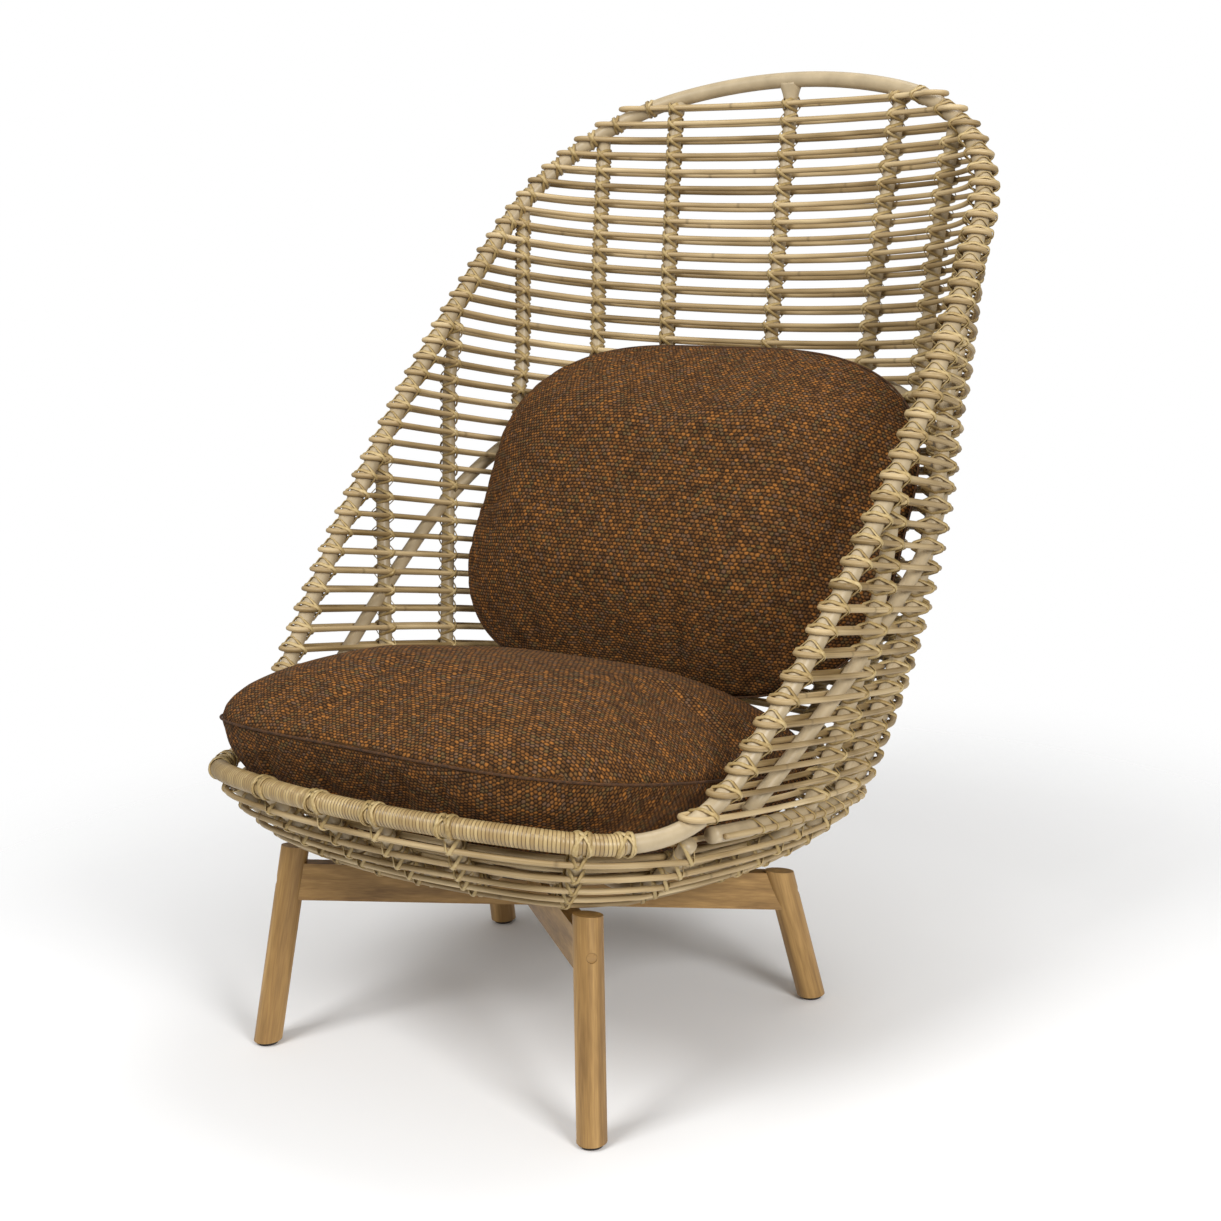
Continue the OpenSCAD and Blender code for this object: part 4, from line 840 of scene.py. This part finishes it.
def outline(w, l, a, square, draw):
    """Rounded-square outline at angle a: a superellipse whose sides are drawn in by a share draw."""
    c, s = np.cos(a), np.sin(a)
    m = (np.abs(c) ** square + np.abs(s) ** square) ** (-1 / square)
    return (m * (1 - draw * np.cos(2 * a) ** 2))[:, None] * np.stack([w / 2 * c, l / 2 * s], -1)


def seam_height(name, p):
    """Height of the seam of a cushion under or over point p of its plane."""
    return seat_rise - p[:, 1] * tan(seat_slope) if name == "seat_pad" else 0 * p[:, 1]


def crown(e):
    """Height of a crowned panel at level e."""
    return (1 - min(1, e) ** 2.6) ** 0.62


def seat_low(p, e):
    """The seat cushion's underside, from the seam down to the bowl's ribs."""
    seam = seam_height("seat_pad", p)
    return seam - (seam + bowl_floor - seat_sunk) * (1 - min(1, e) ** 4) ** 0.8


def seat_high(p, e):
    """The seat cushion's top."""
    return seam_height("seat_pad", p) + (seat_crown - seat_slack) * crown(e)


def back_low(p, e):
    """The back cushion's rear panel."""
    return 0 * p[:, 0] - (pillow_t / 2 - back_slack) * crown(e)


def back_high(p, e):
    """The back cushion's front panel."""
    return 0 * p[:, 0] + (pillow_t / 2 - back_slack) * crown(e)


def pad(name, origin, turned, outer, low, high):
    """A closed pad: level e of the outline, with the heights low(p, e) under the seam and high(p, e) over."""
    e = np.sin(np.linspace(0.09, 1, 15) * pi / 2)
    rings = [np.c_[x * outer, low(x * outer, x)] for x in e]
    rings += [np.c_[x * outer, high(x * outer, x)] for x in e[-2::-1]]
    return build(name, [((np.stack(rings) @ turned.T + origin)[None], False)], tweed, "cushion")


def points_of(mesh):
    """The places of a mesh's points, in metres."""
    co = np.empty(len(mesh.vertices) * 3, np.float32)
    mesh.vertices.foreach_get("co", co)
    return co.reshape(-1, 3)


def shaped(obj):
    """A new mesh from the object with its modifiers."""
    return bpy.data.meshes.new_from_object(obj.evaluated_get(bpy.context.evaluated_depsgraph_get()))


def filled(obj, origin, turned, seam, above, under, pressure=4.0):
    """Fills the cover: an even mesh, its seam held, blown up for a few frames. A point then keeps at most the
    travel above or under the seam, so the cushion stays on its seat."""
    mesh = obj.data
    remesh = obj.modifiers.new("even", "REMESH")
    remesh.mode, remesh.voxel_size = "VOXEL", fabric_step
    made = shaped(obj)
    obj.modifiers.clear()
    obj.data = made
    made.name = mesh.name
    if not made.materials:
        made.materials.append(tweed)
    bpy.data.meshes.remove(mesh)
    start = points_of(made)
    local = (start * 1000 - origin) @ turned
    rim = outline(*seam, np.arctan2(local[:, 1] / seam[1], local[:, 0] / seam[0]), *seam_form[obj.name])
    level = np.linalg.norm(local[:, :2], axis=1) / np.linalg.norm(rim, axis=1)
    held = obj.vertex_groups.new(name="seam")
    held.add(np.flatnonzero(level > seam_level).tolist(), 1.0, "REPLACE")
    cloth = obj.modifiers.new("fill", "CLOTH")
    settings = {"quality": 5, "mass": 0.25, "tension_stiffness": 12, "compression_stiffness": 12,
                "bending_stiffness": 0.35, "use_pressure": True, "uniform_pressure_force": pressure,
                "shrink_min": -0.035, "vertex_group_mass": "seam"}
    for key, value in settings.items():
        setattr(cloth.settings, key, value)
    cloth.settings.effector_weights.gravity = 0
    cloth.collision_settings.use_collision = False
    scene = bpy.context.scene
    for step_no in range(1, frames + 1):
        scene.frame_set(step_no)
    blown = shaped(obj)
    travel = points_of(blown) - start
    obj.modifiers.clear()
    obj.vertex_groups.clear()
    bpy.data.meshes.remove(blown)
    scene.frame_set(1)
    far = np.linalg.norm(travel, axis=1, keepdims=True)
    most = (np.where(local[:, 2] > seam_height(obj.name, local), above, under) / 1000)[:, None]
    start = start + travel * np.minimum(1, most / np.maximum(far, 1e-9))
    made.vertices.foreach_set("co", start.ravel())
    made.update()
    made.polygons.foreach_set("use_smooth", np.ones(len(made.polygons), bool))
    sub = obj.modifiers.new("round", "SUBSURF")
    sub.levels = sub.render_levels = 1


def unrolled(obj, origin, turned, top, under):
    """Keeps the panel's own plane on its points: (x, y) (r + 0.85 drop) / r, with drop the fall from the
    panel's crown."""
    mesh = obj.data
    p = (points_of(mesh) * 1000 - origin) @ turned
    r = np.maximum(1, np.linalg.norm(p[:, :2], axis=1))
    middle = seam_height(obj.name, p * 0)
    drop = np.where(p[:, 2] > seam_height(obj.name, p), middle + top - p[:, 2], p[:, 2] - middle + under)
    grown = p[:, :2] * (1 + drape * np.maximum(0, drop) / r)[:, None] / 1000
    kept = mesh.attributes.new("panel", "FLOAT_VECTOR", "POINT")
    kept.data.foreach_set("vector", np.c_[grown, np.zeros(len(p))].astype(np.float32).ravel())


# Basket-woven wool tweed: thick mixed yarns 5 mm apart, floating 7 mm, each float its own tone of brown, rust
# or olive, with painted shade where one yarn dives under the next and the middle of each float painted
# lighter.
yarn_float, yarn_pitch = 0.0072, 0.005
tweed, tree, shader = material("woven_wool_tweed", Roughness=0.95, IOR=1.5)
shader.inputs["Specular IOR Level"].default_value = 0.2
panel = add(tree, "Attribute", attribute_name="panel", attribute_type="GEOMETRY")
wander = add(tree, "TexNoise", {"Vector": panel.outputs["Vector"], "Scale": 9, "Detail": 1})
bent = add(tree, "VectorMath", {0: wander.outputs["Color"], 1: (0.012, 0.012, 0.0),
                                2: panel.outputs["Vector"]}, operation="MULTIPLY_ADD")
uneven = add(tree, "TexNoise", {"Vector": panel.outputs["Vector"], "Scale": 170, "Detail": 1})
bent = add(tree, "VectorMath", {0: uneven.outputs["Color"], 1: (0.0034, 0.0026, 0.0), 2: bent},
           operation="MULTIPLY_ADD")
yarns = add(tree, "VectorMath", {0: bent, 1: (1 / yarn_float, 1 / yarn_pitch, 0.0)}, operation="MULTIPLY")
counted = add(tree, "SeparateXYZ", {"Vector": yarns})
row_no = add(tree, "Math", {0: counted.outputs["Y"]}, operation="FLOOR")
stepped = add(tree, "Math", {0: row_no, 1: 0.5, 2: counted.outputs["X"]}, operation="MULTIPLY_ADD")
column = add(tree, "Math", {0: stepped}, operation="FLOOR")
cell = add(tree, "CombineXYZ", {"X": column, "Y": row_no})
each = add(tree, "TexWhiteNoise", {"Vector": cell}, noise_dimensions="2D")
tint = ramp(tree, each, (0.0, "#3c2815"), (1.0, "#96602a"), (0.25, "#5a3a1c"), (0.45, "#70471f"),
            (0.58, "#56482b"), (0.7, "#5d4738"), (0.85, "#7f5224"))
fibres = add(tree, "TexNoise", {"Vector": panel.outputs["Vector"], "Scale": 520, "Detail": 2})
mixed = ramp(tree, fibres, (0.35, "#4a3119"), (0.65, "#84582a"))
tint = add(tree, "MixRGB", {"Fac": 0.25, "Color1": tint, "Color2": mixed})
# Painted shade and highlight: each float darkens towards its edges, to 0.14 of its colour where yarns dive
# under, and its middle is painted up to 1.3 times lighter; float_h is also the bump's height.
high = [add(tree, "Math", {0: v, 1: 0.5}, operation="PINGPONG") for v in (stepped, counted.outputs["Y"])]
float_h = add(tree, "Math", {0: high[0], 1: high[1]}, operation="MULTIPLY")
painted_float_shading = add(tree, "MapRange", {"Value": float_h, "From Min": 0.0, "From Max": 0.12, "To Min": 0.14,
                             "To Max": 1.3})
tint = add(tree, "MixRGB", {"Fac": 1.0, "Color1": tint, "Color2": painted_float_shading}, blend_type="MULTIPLY")
fuzz = add(tree, "TexNoise", {"Vector": add(tree, "TexCoord").outputs["Object"], "Scale": 700, "Detail": 2})
height = add(tree, "Math", {0: fuzz, 1: 0.06, 2: float_h}, operation="MULTIPLY_ADD")
surface(tree, shader, tint, height, 0.6, 0.004)

# The sewn seam: the same wool, in darker browns than the cover.
seam_wool, tree, shader = material("sewn_wool_seam", Roughness=0.95, IOR=1.5)
spun = add(tree, "TexNoise", {"Vector": add(tree, "TexCoord").outputs["Object"], "Scale": 230, "Detail": 2})
put(tree, shader, {"Base Color": ramp(tree, spun, (0.3, "#2c1c0e"), (0.7, "#5a3817"))})


def cushion(name, welt, node, origin, turned, seam, panels, travel, heights):
    """One cushion: its cover from two panels, filled, and its seam, a sewn ridge all round. travel and
    heights hold a value for the side above the seam and one for the side under it."""
    a = np.linspace(0, 2 * pi, 121)[:-1]
    made = pad(name, origin, turned, outline(*seam, a, *seam_form[name]), *panels)
    filled(made, origin, turned, seam, *travel)
    unrolled(made, origin, turned, *heights)
    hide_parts(node)
    p = outline(*seam, np.linspace(0, 2 * pi, 241)[:-1], *seam_form[name])
    path = np.c_[p, seam_height(name, p)] @ turned.T + origin
    build(welt, [sweep(path, turned[:, 2], seam_r, 8, True)], seam_wool, "cushion")


s, c = sin(seat_tilt), cos(seat_tilt)
cushion("seat_pad", "seat_welt", "seat_cushion", bowl_3d([0, ring_depth - seat_behind], 0),
        np.array([[1, 0, 0], [0, c, s], [0, -s, c]]), (seat_w * small, seat_l * small), (seat_low, seat_high),
        (26, 5), (seat_crown, bowl_floor + seat_rise))
s, c = sin(pillow_lean), cos(pillow_lean)
cushion("back_pad", "back_welt", "back_cushion",
        np.array([0, ring_y + front_y + pillow_back, ring_z + pillow_up]),
        np.array([[1, 0, 0], [0, s, -c], [0, c, s]]), (pillow_w * small, pillow_h * small),
        (back_low, back_high), (24, 10), (pillow_t / 2, pillow_t / 2))

# ---- Wooden legs and boards ----------------------------------------------------------------------
# Four turned teak legs, 36 mm thick, splay outwards from two sawn teak boards, halved over each other.
# Dowels through the boards peg the legs; all of it is sanded and oiled.


def teak(name, way, dark="#7b5b30", light="#bd965a"):
    """Oiled teak, sanded: warm brown with fine dark pores and broad bands along the grain direction way."""
    made, tree, shader = material(name, Roughness=0.48, IOR=1.5)
    turn = Vector(way).to_track_quat("Z", "X").to_matrix().transposed().to_euler()
    place = add(tree, "Mapping", {"Vector": add(tree, "TexCoord").outputs["Object"], "Rotation": turn},
                vector_type="POINT")
    long = add(tree, "Mapping", {"Vector": place, "Scale": (1.0, 1.0, 0.07)})
    broad = add(tree, "TexNoise", {"Vector": long, "Scale": 55, "Detail": 3, "Distortion": 0.6})
    fine = add(tree, "TexNoise", {"Vector": long, "Scale": 420, "Detail": 2})
    mixed = add(tree, "Math", {0: fine, 1: 0.45, 2: broad}, operation="MULTIPLY_ADD")
    level = add(tree, "MapRange", {"Value": mixed, "From Min": 0.45, "From Max": 1.0})
    tint = ramp(tree, level, (0.0, dark), (1.0, light), (0.5, "#9c7844"))
    surface(tree, shader, tint, fine, 0.2, 0.0004)
    return made


def finish_of(node, mat):
    """Puts a material on a CAD node."""
    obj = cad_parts[node]
    obj.data.materials.clear()
    obj.data.materials.append(mat)


lean_x, lean_y, board_dip = tan(radians(6.4)), tan(radians(11.3)), -0.14
for side, sx in (("left", -1), ("right", 1)):
    for end, sy in (("front", -1), ("back", 1)):
        leg = f"leg_{end}_{side}"
        finish_of(leg, teak("oiled_teak_" + leg, (-sx * lean_x, -sy * lean_y, 1)))
for board, sx in (("board_a", 1), ("board_b", -1)):
    finish_of(board, teak("oiled_teak_" + board, (sx, 1, board_dip)))
finish_of("dowels", teak("oiled_teak_dowels", (1, 0, 0), "#634521", "#96754a"))

# ---- Hub, screws and glides ----------------------------------------------------------------------
# A lacquered steel plate welded under the bowl's ribs, a black rubber wedge between it and the boards, four
# zinc-plated screws that hold them together, and a black rubber glide under each leg.
rubber, tree, shader = material("moulded_black_rubber", Roughness=0.7, IOR=1.5, Base_Color=linear("#2b2724"))
zinc, tree, shader = material("zinc_plated_steel", Roughness=0.35, IOR=2.5, Metallic=1.0,
                              Base_Color=linear("#b9bcc0"))
for node, mat, slot in (("hub_plate", lacquer, "tube"), ("hub_spacer", rubber, "rubber"),
                        ("glides", rubber, "rubber"), ("hub_screws", zinc, "screw")):
    finish_of(node, mat)

# ---- Floor, light and camera ---------------------------------------------------------------------
# A plain pale floor that fades into a white surround, and soft even studio light from above and the left.
# The camera stands in front on the right, a little above the seat, and leans by three degrees.
floor_half, fade_from, fade_to = 12, 0.65, 1.5
floor_mesh = bpy.data.meshes.new("floor")
corners = [(x * floor_half, y * floor_half, 0) for x, y in ((-1, -1), (1, -1), (1, 1), (-1, 1))]
floor_mesh.from_pydata(corners, [], [(0, 1, 2, 3)])
floor = bpy.data.objects.new("floor", floor_mesh)
bpy.context.scene.collection.objects.link(floor)
paper, tree, shader = material("pale_studio_floor", Roughness=0.9, IOR=1.5, Base_Color=linear("#f7f7f7"))
spot = add(tree, "VectorMath", {0: add(tree, "TexCoord").outputs["Object"]}, operation="LENGTH")
fade = add(tree, "MapRange", {"Value": spot.outputs["Value"], "From Min": fade_from, "From Max": fade_to},
           interpolation_type="SMOOTHSTEP")
faded = add(tree, "MixShader", {0: fade, 1: shader, 2: add(tree, "BsdfTransparent")})
put(tree, tree.nodes["Material Output"], {"Surface": faded})
floor_mesh.materials.append(paper)
for name, place, size, power in (("key", (-0.6, -2.8, 3.4), 1.6, 88), ("fill", (3.4, -1.5, 2.2), 1.2, 96),
                                 ("top", (0.2, 1.2, 3.6), 2.0, 40)):
    lamp = bpy.data.lights.new(name, "AREA")
    lamp.energy, lamp.size = power, size
    holder = bpy.data.objects.new(name, lamp)
    aim = (Vector((0, 0, 0.55)) - Vector(place)).to_track_quat("-Z", "Y").to_matrix().to_4x4()
    holder.matrix_world = Matrix.Translation(place) @ aim
    bpy.context.scene.collection.objects.link(holder)
world = bpy.data.worlds.new("studio")
world.use_nodes = True
bpy.context.scene.world = world
tree = world.node_tree
rays = add(tree, "LightPath")
seen = add(tree, "Math", {0: rays.outputs["Is Camera Ray"], 1: rays.outputs["Is Transmission Ray"]},
           operation="MAXIMUM")
level = add(tree, "MapRange", {"Value": seen, "To Min": 0.4, "To Max": 1.0})
put(tree, tree.nodes["Background"], {"Color": (1, 1, 1, 1), "Strength": level})

azimuth, elevation, roll = 0.654589, 0.232744, -0.049968
away = np.array([sin(azimuth) * cos(elevation), -cos(azimuth) * cos(elevation), sin(elevation)])
level_right = np.array([cos(azimuth), sin(azimuth), 0])
level_up = np.cross(away, level_right)
right = cos(roll) * level_right + sin(roll) * level_up
up = -sin(roll) * level_right + cos(roll) * level_up
lens = bpy.data.cameras.new("camera")
lens.sensor_width, lens.lens, lens.clip_start, lens.clip_end = 36, 61.14, 0.05, 60
camera = bpy.data.objects.new("camera", lens)
place = (1.6343, -2.1160, 1.1473)
camera.matrix_world = Matrix([[right[i], up[i], away[i], place[i]] for i in range(3)] + [[0, 0, 0, 1]])
bpy.context.scene.collection.objects.link(camera)
bpy.context.scene.camera = camera
bpy.context.scene.view_settings.view_transform = "Standard"
